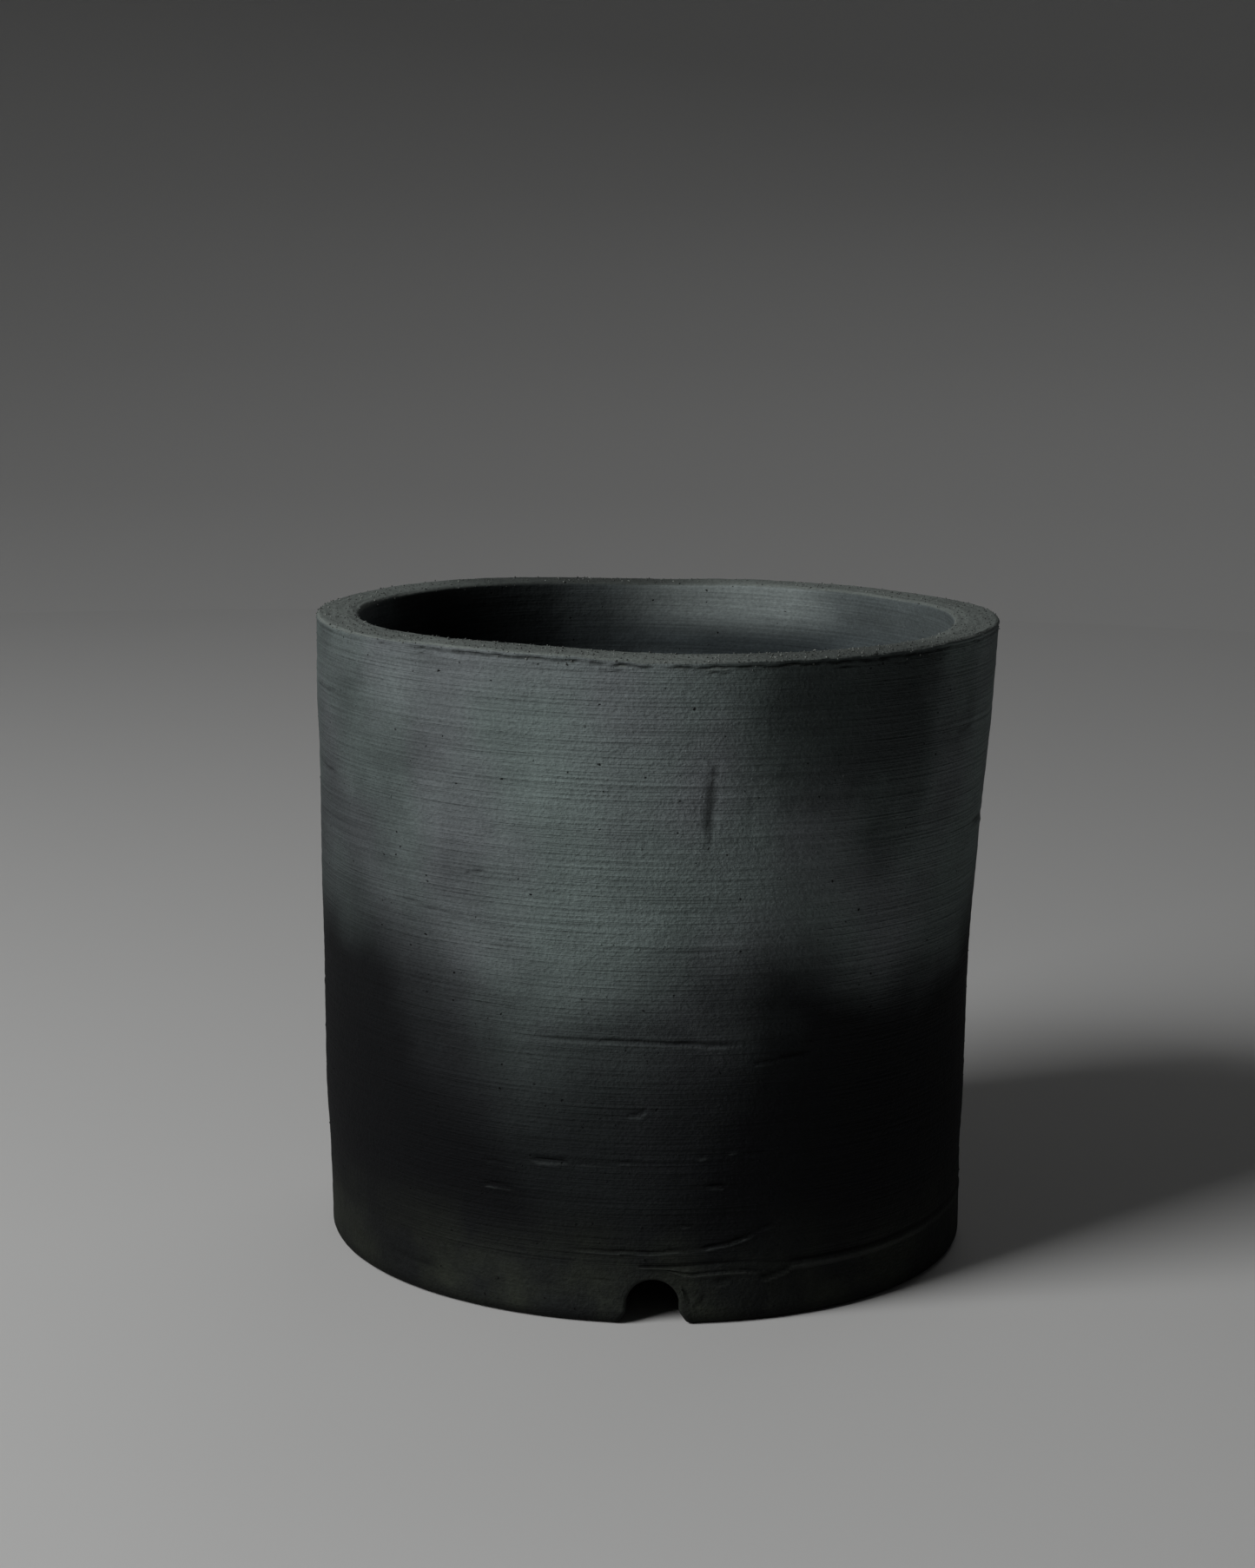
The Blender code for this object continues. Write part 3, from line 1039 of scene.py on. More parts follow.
@dataclass
class Grog:
    """Grains of fired grit that stand proud: bare on the cut rim, and under the smoke on the outside."""

    form: PotForm
    wall: bpy.types.Object
    seat: Seat
    count: int
    smallest: float
    largest: float
    standing: float
    seed: int = 5

    def faces(self) -> list[bpy.types.MeshPolygon]:
        """The faces of the wall that grains may stand on.

        Returns:
            The faces, sorted by place, because merging leaves them in any order.
        """
        found = []
        for face in self.wall.data.polygons:
            on_rim = face.center.z > self.form.height - 1.6 * MM and face.normal.z > 0.3
            radius = face.center.to_2d().length
            outside = radius > self.form.outer_radius(face.center.z) - 3 * MM and face.normal.z < 0.3
            if on_rim if self.seat is Seat.RIM else outside:
                found.append(face)
        return sorted(found, key=lambda face: tuple(face.center))

    def build(self) -> bmesh.types.BMesh:
        """Half bury each grain in a face picked at random.

        Returns:
            The grains as one shape.
        """
        dice = random.Random(self.seed)
        faces = self.faces()
        template = bmesh.new()
        bmesh.ops.create_icosphere(template, subdivisions=1, radius=1.0)
        seedling = bpy.data.meshes.new("grain")
        template.to_mesh(seedling)
        template.free()
        bm = bmesh.new()
        for _ in range(self.count):
            face = dice.choice(faces)
            size = self.smallest + (self.largest - self.smallest) * dice.random() ** 2.2
            stretch = Vector((dice.uniform(0.7, 1.2), dice.uniform(0.7, 1.2), dice.uniform(0.6, 1.0))) * size
            spin = Matrix.Rotation(dice.uniform(0, math.tau), 4, "Z")
            spin @= Matrix.Rotation(dice.uniform(0, 3), 4, "X")
            slide = Vector((dice.uniform(-0.4, 0.4), dice.uniform(-0.4, 0.4), dice.uniform(-0.1, 0.1))) * MM
            slide -= face.normal * slide.dot(face.normal)
            spot = face.center + slide + face.normal * size * self.standing
            matrix = Matrix.Translation(spot) @ spin @ Matrix.Diagonal((*stretch, 1.0))
            before = len(bm.verts)
            bm.from_mesh(seedling)
            bm.verts.ensure_lookup_table()
            for index in range(before, len(bm.verts)):
                bm.verts[index].co = matrix @ bm.verts[index].co
        bpy.data.meshes.remove(seedling)
        bm.normal_update()
        return bm

    def dress(self, material: bpy.types.Material) -> bpy.types.Object:
        """Build the grains and give them their finish."""
        name = f"{self.seat.value}_grog_grains"
        return finish_piece(self.build(), name, material, "wall")


# Finishes
# --------


def linear(hex_colour: str) -> tuple[float, float, float, float]:
    """Turn an sRGB hex colour such as "#5b6362" into linear red, green, blue and alpha.

    Args:
        hex_colour: The colour as sRGB hex.

    Returns:
        Its linear channels.
    """
    channels = [int(hex_colour[i : i + 2], 16) / 255 for i in (1, 3, 5)]
    channels = [c / 12.92 if c <= 0.04045 else ((c + 0.055) / 1.055) ** 2.4 for c in channels]
    return (*channels, 1.0)


class Recipe:
    """A material's node tree, with one method that adds a node with its settings and links."""

    def __init__(self, name: str) -> None:
        """Start a material that holds only a Principled shader and its output.

        Args:
            name: The material's name.
        """
        self.material = bpy.data.materials.new(name)
        self.material.use_nodes = True
        self.tree = self.material.node_tree
        self.shader = self.tree.nodes["Principled BSDF"]

    def add(self, kind: str, inputs: dict | None = None, **settings: object) -> bpy.types.Node:
        """Add a node.

        Args:
            kind: The node's type, without its ShaderNode prefix.
            inputs: Values or other nodes' output sockets, by input name or index.
            settings: The node's own properties.

        Returns:
            The new node.
        """
        node = self.tree.nodes.new(f"ShaderNode{kind}")
        for key, value in settings.items():
            setattr(node, key, value)
        self.feed(node, inputs or {})
        return node

    def feed(self, node: bpy.types.Node, inputs: dict) -> None:
        """Set or link a node's inputs.

        Args:
            node: The node to feed.
            inputs: Values or other nodes' output sockets, by input name or index.
        """
        for key, value in inputs.items():
            if isinstance(value, Socket):
                self.tree.links.new(value, node.inputs[key])
            else:
                node.inputs[key].default_value = value


def span(low: float, high: float, start: float = 0.0, end: float = 1.0) -> dict[str, float]:
    """Return the inputs of a Map Range that goes from start to end as its value goes from low to high."""
    return {"From Min": low, "From Max": high, "To Min": start, "To Max": end}


# The setting of a Map Range that eases in and out
SMOOTHSTEP = {"interpolation_type": "SMOOTHSTEP"}


class MixSocket:
    """Where a colour Mix node keeps its factor, its two colours and its result."""

    FACTOR = 0
    FIRST = 6
    SECOND = 7
    RESULT = 2


@dataclass(frozen=True)
class ClaySkin:
    """What every fired clay skin of this pot shares: grain, brush lines, grit and pits, in millimetres.

    The clay's real grain is about 0.3 mm. It is drawn a little coarser, so that it still shows from arm's
    length.
    """

    grain_length: float = 0.52
    grain_height: float = 0.40
    line_length: float = 30.0
    line_height: float = 0.34
    coarse_size: float = 1.5
    coarse_depth: float = 0.12
    pit_spacing: float = 1.6
    pit_radius: float = 0.21
    pit_depth: float = 0.22
    pit_raggedness: float = 0.9
    pit_shift: float = 0.7
    tilt: float = 0.016

    def pattern(self, recipe: Recipe, place: Socket, length: float, height: float, detail: float) -> Socket:
        """Noise that is longer round the pot than it is tall, with both sizes in millimetres.

        Args:
            recipe: The material being made.
            place: The Object coordinates.
            length: Length of a streak in millimetres.
            height: Height of a streak in millimetres.
            detail: How many finer layers the noise has.

        Returns:
            The noise, mostly between 0.3 and 0.7.
        """
        scale = (1 / length / MM, 1 / length / MM, 1 / height / MM)
        drawn_out = {"Vector": place, "Rotation": (0.0, self.tilt, 0.0), "Scale": scale}
        spread = recipe.add("Mapping", drawn_out).outputs[0]
        streaks = {"Vector": spread, "Scale": 1.0, "Detail": detail, "Roughness": 0.6}
        return recipe.add("TexNoise", streaks).outputs["Fac"]

    def pits(self, recipe: Recipe, place: Socket) -> Socket:
        """Small open pits of differing sizes, where grit was plucked out.

        Args:
            recipe: The material being made.
            place: The Object coordinates.

        Returns:
            1 in a pit and 0 outside it.
        """
        fine = {"Vector": place, "Scale": 1 / (self.pit_raggedness * MM), "Detail": 1.0}
        ragged = recipe.add("TexNoise", fine).outputs["Color"]
        shift = (self.pit_shift * MM,) * 3
        shifted = recipe.add("VectorMath", {0: ragged, 1: shift, 2: place}, operation="MULTIPLY_ADD")
        spread = recipe.add("Mapping", {"Vector": shifted.outputs[0], "Scale": (0.75, 0.75, 1.0)}).outputs[0]
        scale = 1 / self.pit_spacing / MM
        cells = recipe.add("TexVoronoi", {"Vector": spread, "Scale": scale, "Randomness": 1.0})
        luck = recipe.add("SeparateXYZ", {0: cells.outputs["Color"]}).outputs[0]
        smaller = recipe.add("Math", {0: luck, 1: 0.11}, operation="MULTIPLY").outputs[0]
        distance = recipe.add("Math", {0: cells.outputs["Distance"], 1: smaller}, operation="ADD").outputs[0]
        edge = self.pit_radius / self.pit_spacing
        pit = {"Value": distance, **span(edge, 0.35 * edge)}
        return recipe.add("MapRange", pit, **SMOOTHSTEP).outputs["Result"]

    def add_to(
        self,
        recipe: Recipe,
        place: Socket,
        line_depth: float,
        grain_depth: float,
        strength: Socket | float = 1.0,
    ) -> dict[str, Socket]:
        """Add the shared patterns and link their bump to the shader.

        Args:
            recipe: The material being made.
            place: The Object coordinates.
            line_depth: Depth of the brush lines in millimetres.
            grain_depth: Depth of the grain in millimetres.
            strength: A number or a socket that deepens or flattens lines and grain.

        Returns:
            The patterns' sockets: place, lines, grain, coarse, pits and rub.
        """
        lines = self.pattern(recipe, place, self.line_length, self.line_height, 2.0)
        grain_fac = self.pattern(recipe, place, self.grain_length, self.grain_height, 2.0)
        coarse = self.pattern(recipe, place, self.coarse_size, self.coarse_size * 0.8, 2.0)
        pits = self.pits(recipe, place)
        deep_grain = recipe.add("Math", {0: grain_fac, 1: strength}, operation="MULTIPLY").outputs[0]
        deep_lines = recipe.add("Math", {0: lines, 1: strength}, operation="MULTIPLY").outputs[0]
        normal: dict[str, Socket] = {}
        for relief, depth, sunk in (
            (coarse, self.coarse_depth, False),
            (deep_grain, grain_depth, False),
            (deep_lines, line_depth, False),
            (pits, self.pit_depth, True),
        ):
            bump = recipe.add("Bump", {"Height": relief, "Distance": depth * MM, **normal}, invert=sunk)
            normal = {"Normal": bump.outputs[0]}
        recipe.feed(recipe.shader, normal)
        rub = recipe.add("Attribute", attribute_name=RUB).outputs["Fac"]
        patterns = {"lines": lines, "grain": grain_fac, "coarse": coarse, "pits": pits}
        return {"place": place, "rub": rub, **patterns}


@dataclass(frozen=True)
class Cloud:
    """A soft ragged cloud round a spot, which is in millimetres, as its size is.

    Its pattern is the value inside in the middle and the value outside beyond its edge.
    """

    spot: Spot
    size: float
    inside: float
    outside: float
    ragged_scale: float = 110.0
    ragged_share: float = 0.4

    def add_to(self, recipe: Recipe, place: Socket) -> Socket:
        """Add the cloud to a material.

        Args:
            recipe: The material being made.
            place: The Object coordinates.

        Returns:
            The socket that goes from inside to outside.
        """
        noisy = {"Vector": place, "Scale": self.ragged_scale, "Detail": 2.0}
        ragged = recipe.add("TexNoise", noisy).outputs["Fac"]
        centre = tuple(value * MM for value in self.spot)
        distance = recipe.add("VectorMath", {0: place, 1: centre}, operation="DISTANCE").outputs["Value"]
        push = self.size * self.ragged_share * MM
        pushed = recipe.add("MapRange", {"Value": ragged, **span(0.0, 1.0, -push, push)}).outputs["Result"]
        distance = recipe.add("Math", {0: distance, 1: pushed}, operation="ADD").outputs[0]
        fade = span(0.35 * self.size * MM, 1.35 * self.size * MM, self.inside, self.outside)
        return recipe.add("MapRange", {"Value": distance, **fade}, **SMOOTHSTEP).outputs["Result"]


def layered(recipe: Recipe, colour: Colour, *layers: tuple[Socket, Colour]) -> Socket:
    """Lay colours over one another, each as far as its share says.

    Args:
        recipe: The material being made.
        colour: The colour at the bottom.
        layers: A share from 0 to 1 and a colour for each layer, the lowest first.

    Returns:
        The colour that shows.
    """
    for share, over in layers:
        sockets = {MixSocket.FACTOR: share, MixSocket.FIRST: colour, MixSocket.SECOND: over}
        colour = recipe.add("Mix", sockets, data_type="RGBA").outputs[MixSocket.RESULT]
    return colour


def shade(recipe: Recipe, colour: Socket, pattern: Socket, low: float, high: float) -> Socket:
    """Darken or lighten a colour by a pattern.

    Args:
        recipe: The material being made.
        colour: The colour to shade.
        pattern: A value that mostly lies between 0.3 and 0.7.
        low: The factor where the pattern is low.
        high: The factor where the pattern is high.

    Returns:
        The shaded colour.
    """
    factor = recipe.add("MapRange", {"Value": pattern, **span(0.3, 0.7, low, high)})
    scaled = recipe.add("VectorMath", {0: colour, "Scale": factor.outputs["Result"]}, operation="SCALE")
    return scaled.outputs[0]


def wear_and_groove_light(recipe: Recipe, colour: Socket, skin: dict, bare: str) -> Socket:
    """Darken scored grooves with carbon and painted shade, and pale the ridges beside them with rubbed clay
    and a painted highlight.

    Args:
        recipe: The material being made.
        colour: The colour to wear.
        skin: The shared patterns.
        bare: Colour of the bare clay.

    Returns:
        The worn colour, with painted shade in the grooves and a painted highlight on the ridges, and its pits
        filled with SOOT.
    """
    # Carbon and painted shade: grooves darken to 0.42 of the colour at their deepest
    dark = recipe.add("MapRange", {"Value": skin["rub"], **span(-1.0, -0.1, 0.42)})
    darkened = {0: colour, "Scale": dark.outputs["Result"]}
    colour = recipe.add("VectorMath", darkened, operation="SCALE").outputs[0]
    # Rubbed clay and painted highlight: ridges turn up to 0.17 of the way to bare clay
    ridge_highlight_and_rub = recipe.add("MapRange", {"Value": skin["rub"], **span(0.25, 1.0, 0.0, 0.17)})
    return layered(recipe, colour, (ridge_highlight_and_rub.outputs["Result"], linear(bare)), (skin["pits"], linear(SOOT)))


def foot_colour(recipe: Recipe, skin: dict, upper: Socket) -> Socket:
    """Turn a colour to the sponged foot's olive by height, so that foot ring and wall meet unseen.

    Args:
        recipe: The material being made.
        skin: The shared patterns.
        upper: The colour above the foot.

    Returns:
        The colour with its foot.
    """
    cloud = recipe.add("TexNoise", {"Vector": skin["place"], "Scale": 95.0, "Detail": 4.0}).outputs["Fac"]
    spread = recipe.add("MapRange", {"Value": cloud, **span(0.36, 0.66)}, **SMOOTHSTEP)
    olive = layered(recipe, linear(FOOT_BLACK), (spread.outputs["Result"], linear(FOOT_OLIVE)))
    cleaner = Cloud((-9, -47, 10), 24, inside=1.30, outside=0.72).add_to(recipe, skin["place"])
    behind = Cloud((-16, 45, 8), 42, inside=0.62, outside=0.0).add_to(recipe, skin["place"])
    cleaner = recipe.add("Math", {0: cleaner, 1: behind}, operation="ADD").outputs[0]
    olive = recipe.add("VectorMath", {0: olive, "Scale": cleaner}, operation="SCALE").outputs[0]
    height = recipe.add("SeparateXYZ", {0: skin["place"]}).outputs[2]
    share = recipe.add("MapRange", {"Value": height, **span(19 * MM, 2 * MM)}, **SMOOTHSTEP)
    return layered(recipe, upper, (share.outputs["Result"], olive))


@dataclass(frozen=True)
class SmokeFiredStoneware:
    """Unglazed grogged stoneware, brushed while damp and fired in smoke.

    The smoke leaves the upper part slate grey with a green cast and the lower part blue-black with carbon,
    with a soft cloudy edge between them. Nothing is glazed, so the skin is matt, and its grain shows in
    raking light. The smoke line's height is in millimetres.
    """

    green_grey: str = "#6b7674"
    plum_grey: str = "#696e70"
    carbon: str = "#0a0b0d"
    rim_grey: str = "#676d6a"
    inside_grey: str = "#41484a"
    inside_dark: str = "#2f3537"
    # Painted light: the paler band inside under the rim, where the key light falls on the inner wall
    inside_painted_light: str = "#7e8685"
    bare: str = "#646a69"
    smoke_line: Knots = (
        (-180, 52), (-140, 60), (-105, 56), (-75, 51.5), (-62, 54.3), (-50, 50.6), (-38, 51.6), (-25, 46.8),
        (-12, 49.8), (-2, 53.2), (8, 49.4), (16, 53), (26, 51), (40, 46), (60, 47), (100, 62), (140, 56),
        (180, 52),
    )  # fmt: skip
    # Darker clouds on the outside: soot at the upper right, a broad darkening of the left side, and soot at
    # the back left
    dark_clouds: tuple[Cloud, ...] = (
        Cloud((27, -41, 88), 23, 0.26, 1.0),
        Cloud((-50, -4, 59), 46, 0.46, 1.0),
        Cloud((-30, 38, 80), 17, 0.4, 1.0),
    )
    front_haze: Cloud = Cloud((-10, -46, 36), 24, 0.50, 0.03)
    back_haze: tuple[Cloud, ...] = (Cloud((-24, 41, 32), 34, 0.46, 0.0), Cloud((38, 30, 30), 26, 0.34, 0.0))
    low_haze: tuple[Cloud, ...] = (Cloud((-7, -47, 27), 15, 0.055, 0.0), Cloud((-22, 42, 20), 32, 0.085, 0.0))
    rim_soot: tuple[Cloud, ...] = (Cloud((27, -41, 92), 21, 0.60, 1.0), Cloud((-12, 46, 92), 24, 0.40, 1.0))
    # Soot and painted shade: the inside darkens at the back left, where the rim's shadow falls from the key
    # light
    inside_soot_and_shade: Cloud = Cloud((-26, 32, 84), 28, 0.20, 1.0)
    # Painted light: where the paler band under the rim shows, at the back right of the inner wall
    painted_light_pool: Cloud = Cloud((12, 42, 91), 17, 0.95, 0.25)
    worked_patch: Cloud = Cloud((20, -45, 60), 45, 1.25, 0.85)

    def make(self) -> bpy.types.Material:
        """Make the material.

        Returns:
            The finished material.
        """
        recipe = Recipe("stoneware_smoke_fired_brushed")
        place = recipe.add("TexCoord").outputs["Object"]
        on_inside = self.on_inside(recipe, place)
        worked = self.worked_patch.add_to(recipe, place)
        smoothed = recipe.add("MapRange", {"Value": on_inside, **span(0.0, 1.0, 1.0, 0.35)}).outputs["Result"]
        strength = recipe.add("Math", {0: worked, 1: smoothed}, operation="MULTIPLY").outputs[0]
        skin = ClaySkin().add_to(recipe, place, line_depth=0.30, grain_depth=0.20, strength=strength)
        plum = (self.hue_patches(recipe, place), linear(self.plum_grey))
        body = layered(recipe, linear(self.green_grey), plum)
        body = shade(recipe, body, self.patches(recipe, place, 15.0, 0.8), 0.88, 1.12)
        outside = layered(recipe, linear(self.carbon), (self.smoke(recipe, place), body))
        outside = foot_colour(recipe, skin, outside)
        inside = shade(recipe, self.inside(recipe, place), self.patches(recipe, place, 16.0, 0.5), 0.86, 1.10)
        rim = (self.on_rim(recipe, place), self.rim(recipe, place))
        colour = layered(recipe, outside, (on_inside, inside), rim)
        colour = shade(recipe, colour, skin["lines"], 0.84, 1.16)
        colour = shade(recipe, colour, skin["grain"], 0.84, 1.16)
        colour = wear_and_groove_light(recipe, colour, skin, self.bare)
        recipe.feed(recipe.shader, {"Base Color": colour, "Roughness": 0.82, "Specular IOR Level": 0.10})
        return recipe.material

    def patches(self, recipe: Recipe, place: Socket, size: float, squash: float) -> Socket:
        """A cloudy pattern with patches of a size in millimetres, squashed in height by a share.

        Args:
            recipe: The material being made.
            place: The Object coordinates.
            size: Width of a patch in millimetres.
            squash: Its height as a share of its width.

        Returns:
            The pattern, mostly between 0.3 and 0.7.
        """
        scale = 1.0 / (size * MM)
        spread = recipe.add("Mapping", {"Vector": place, "Scale": (scale, scale, scale / squash)}).outputs[0]
        return recipe.add("TexNoise", {"Vector": spread, "Scale": 1.0, "Detail": 3.0}).outputs["Fac"]

    def hue_patches(self, recipe: Recipe, place: Socket) -> Socket:
        """Where the grey turns from green to plum.

        Args:
            recipe: The material being made.
            place: The Object coordinates.

        Returns:
            0 in the green grey, 1 in the plum.
        """
        cloud = self.patches(recipe, place, 21.0, 1.2)
        return recipe.add("MapRange", {"Value": cloud, **span(0.36, 0.70)}, **SMOOTHSTEP).outputs["Result"]

    def line_height(self, recipe: Recipe, place: Socket) -> Socket:
        """Height of the smoke line round the pot, in tenths of a metre, with a wandering edge.

        Args:
            recipe: The material being made.
            place: The Object coordinates.

        Returns:
            The height at each place round the pot.
        """
        parts = recipe.add("SeparateXYZ", {0: place})
        back = recipe.add("Math", {0: parts.outputs[1], 1: -1.0}, operation="MULTIPLY")
        angle = recipe.add("Math", {0: parts.outputs[0], 1: back.outputs[0]}, operation="ARCTAN2")
        share = recipe.add(
            "MapRange", {"Value": angle.outputs[0], **span(-math.pi, math.pi)}
        ).outputs["Result"]
        line = recipe.add("ValToRGB", {"Fac": share})
        ramp = line.color_ramp
        ramp.interpolation = "B_SPLINE"
        for index, (degrees, height) in enumerate(self.smoke_line):
            position = (degrees + 180) / 360
            stop = ramp.elements[index] if index < 2 else ramp.elements.new(position)
            stop.position = position
            stop.color = (height / 100, height / 100, height / 100, 1.0)
        wander = recipe.add("TexNoise", {"Vector": place, "Scale": 80.0, "Detail": 3.0}).outputs["Fac"]
        swing = {"Value": wander, **span(0.0, 1.0, 0.045, -0.045)}
        wandered = recipe.add("MapRange", swing).outputs["Result"]
        return recipe.add("Math", {0: line.outputs[0], 1: wandered}, operation="ADD").outputs[0]

    def smoke(self, recipe: Recipe, place: Socket) -> Socket:
        """How clean of carbon the outside is, and darker under the dark clouds.

        Args:
            recipe: The material being made.
            place: The Object coordinates.

        Returns:
            0 in the black below the smoke line, 1 in the grey above it.
        """
        height = recipe.add("SeparateXYZ", {0: place}).outputs[2]
        height = recipe.add("Math", {0: height, 1: 10.0}, operation="MULTIPLY").outputs[0]
        line = self.line_height(recipe, place)
        above = recipe.add("Math", {0: height, 1: line}, operation="SUBTRACT").outputs[0]
        edge = recipe.add(
            "MapRange", {"Value": above, **span(-0.085, 0.075, 0.0, 0.85)},
            **SMOOTHSTEP,
        ).outputs["Result"]
        tail = recipe.add(
            "MapRange", {"Value": above, **span(-0.30, 0.08)}, interpolation_type="SMOOTHERSTEP"
        ).outputs["Result"]
        haze = self.front_haze.add_to(recipe, place)
        for cloud in self.back_haze:
            more = cloud.add_to(recipe, place)
            haze = recipe.add("Math", {0: haze, 1: more}, operation="ADD").outputs[0]
        tail = recipe.add("Math", {0: tail, 1: haze}, operation="MULTIPLY").outputs[0]
        clean = recipe.add("Math", {0: edge, 1: tail}, operation="ADD", use_clamp=True).outputs[0]
        high = recipe.add(
            "MapRange", {"Value": height, **span(0.60, 0.73, 0.84)}, **SMOOTHSTEP
        ).outputs["Result"]
        clean = recipe.add("Math", {0: clean, 1: high}, operation="MULTIPLY").outputs[0]
        for cloud in self.dark_clouds:
            darkening = cloud.add_to(recipe, place)
            clean = recipe.add("Math", {0: clean, 1: darkening}, operation="MULTIPLY").outputs[0]
        for cloud in self.low_haze:
            low = cloud.add_to(recipe, place)
            clean = recipe.add("Math", {0: clean, 1: low}, operation="ADD").outputs[0]
        return clean

    def inside(self, recipe: Recipe, place: Socket) -> Socket:
        """The inside's colour: slate grey with soft darker rings where smoke hung, a painted band of light
        under the rim at the back right, and soot with painted shade at the back left.

        Args:
            recipe: The material being made.
            place: The Object coordinates.

        Returns:
            The colour.
        """
        rings = self.patches(recipe, place, 30.0, 0.20)
        hang = recipe.add("MapRange", {"Value": rings, **span(0.42, 0.66)}, **SMOOTHSTEP)
        colour = layered(recipe, linear(self.inside_grey), (hang.outputs["Result"], linear(self.inside_dark)))
        height = recipe.add("SeparateXYZ", {0: place}).outputs[2]
        # Painted light: the inside turns paler towards the rim, most at the back right, where the key light
        # falls
        lip = recipe.add(
            "MapRange", {"Value": height, **span(83 * MM, 90 * MM)}, **SMOOTHSTEP
        ).outputs["Result"]
        painted_light_spot = self.painted_light_pool.add_to(recipe, place)
        lip = recipe.add("Math", {0: lip, 1: painted_light_spot}, operation="MULTIPLY").outputs[0]
        colour = layered(recipe, colour, (lip, linear(self.inside_painted_light)))
        # Soot and painted shade darken the inside at the back left
        darkening = self.inside_soot_and_shade.add_to(recipe, place)
        return recipe.add("VectorMath", {0: colour, "Scale": darkening}, operation="SCALE").outputs[0]

    def rim(self, recipe: Recipe, place: Socket) -> Socket:
        """The cut rim's colour, darker where the smoke clouds reach it.

        Args:
            recipe: The material being made.
            place: The Object coordinates.

        Returns:
            The colour.
        """
        colour = linear(self.rim_grey)[:3]
        for cloud in self.rim_soot:
            darkening = cloud.add_to(recipe, place)
            colour = recipe.add("VectorMath", {0: colour, "Scale": darkening}, operation="SCALE").outputs[0]
        return colour

    def on_inside(self, recipe: Recipe, place: Socket) -> Socket:
        """Tell the inner skin from the outer one by distance from the axis.

        Args:
            recipe: The material being made.
            place: The Object coordinates.

        Returns:
            1 on the inner skin and 0 on the outer one.
        """
        flat = recipe.add("VectorMath", {0: place, 1: (1.0, 1.0, 0.0)}, operation="MULTIPLY")
        radius = recipe.add("VectorMath", {0: flat.outputs[0]}, operation="LENGTH").outputs["Value"]
        return recipe.add("MapRange", {"Value": radius, **span(45.6 * MM, 44.6 * MM)}).outputs["Result"]

    def on_rim(self, recipe: Recipe, place: Socket) -> Socket:
        """Find the cut rim, where the skin faces up at the top of the pot.

        Args:
            recipe: The material being made.
            place: The Object coordinates.

        Returns:
            1 on the cut rim and 0 elsewhere.
        """
        facing = recipe.add("NewGeometry").outputs["Normal"]
        upward = recipe.add("SeparateXYZ", {0: facing}).outputs[2]
        upward = recipe.add(
            "MapRange", {"Value": upward, **span(0.30, 0.75)}, **SMOOTHSTEP
        ).outputs["Result"]
        height = recipe.add("SeparateXYZ", {0: place}).outputs[2]
        high = recipe.add("MapRange", {"Value": height, **span(90.4 * MM, 91.4 * MM)}).outputs["Result"]
        return recipe.add("Math", {0: upward, 1: high}, operation="MULTIPLY").outputs[0]


@dataclass(frozen=True)
class CarbonStoneware:
    """The same clay where smoke pooled inside the pot: soft black, smoothed with a wet finger."""

    black: str = "#232728"
    slate: str = "#3a4042"

    def make(self) -> bpy.types.Material:
        """Make the material.

        Returns:
            The finished material.
        """
        recipe = Recipe("stoneware_carbon_smoothed")
        place = recipe.add("TexCoord").outputs["Object"]
        smoothed = ClaySkin(line_height=0.9, line_length=2.2)
        skin = smoothed.add_to(recipe, place, line_depth=0.05, grain_depth=0.14)
        cloud = recipe.add("TexNoise", {"Vector": skin["place"], "Scale": 90.0, "Detail": 3.0}).outputs["Fac"]
        spread = recipe.add("MapRange", {"Value": cloud, **span(0.4, 0.65)})
        colour = layered(recipe, linear(self.black), (spread.outputs["Result"], linear(self.slate)))
        colour = shade(recipe, colour, skin["grain"], 0.84, 1.16)
        colour = layered(recipe, colour, (skin["pits"], linear(SOOT)))
        recipe.feed(recipe.shader, {"Base Color": colour, "Roughness": 0.80, "Specular IOR Level": 0.22})
        return recipe.material


@dataclass(frozen=True)
class BareStoneware:
    """The same clay at the foot, sponged and scraped: dark olive grey, rubbed paler where it rests."""

    dark: str = "#151617"
    rubbed: str = "#4c4e4a"
    bare: str = "#5a5d59"

    def make(self) -> bpy.types.Material:
        """Make the material.

        Returns:
            The finished material.
        """
        recipe = Recipe("stoneware_bare_sponged")
        place = recipe.add("TexCoord").outputs["Object"]
        sponged = ClaySkin(line_height=0.5, line_length=12.0)
        skin = sponged.add_to(recipe, place, line_depth=0.10, grain_depth=0.18)
        colour = foot_colour(recipe, skin, linear(self.dark))
        height = recipe.add("SeparateXYZ", {0: skin["place"]}).outputs[2]
        # Painted shade: the colour darkens to 0.35 of itself from 2.4 mm down to 0.5 mm above the table,
        # where the toe turns under towards the floor
        toe = recipe.add("MapRange", {"Value": height, **span(0.5 * MM, 2.4 * MM, 0.35)})
        darkened = {0: colour, "Scale": toe.outputs["Result"]}
        colour = recipe.add("VectorMath", darkened, operation="SCALE").outputs[0]
        low = recipe.add("MapRange", {"Value": height, **span(0.16 * MM, 0.06 * MM, 0.0, 0.7)})
        colour = layered(recipe, colour, (low.outputs["Result"], linear(self.rubbed)))
        colour = shade(recipe, colour, skin["grain"], 0.82, 1.18)
        colour = shade(recipe, colour, skin["coarse"], 0.88, 1.12)
        colour = wear_and_groove_light(recipe, colour, skin, self.bare)
        recipe.feed(recipe.shader, {"Base Color": colour, "Roughness": 0.85, "Specular IOR Level": 0.10})
        return recipe.material


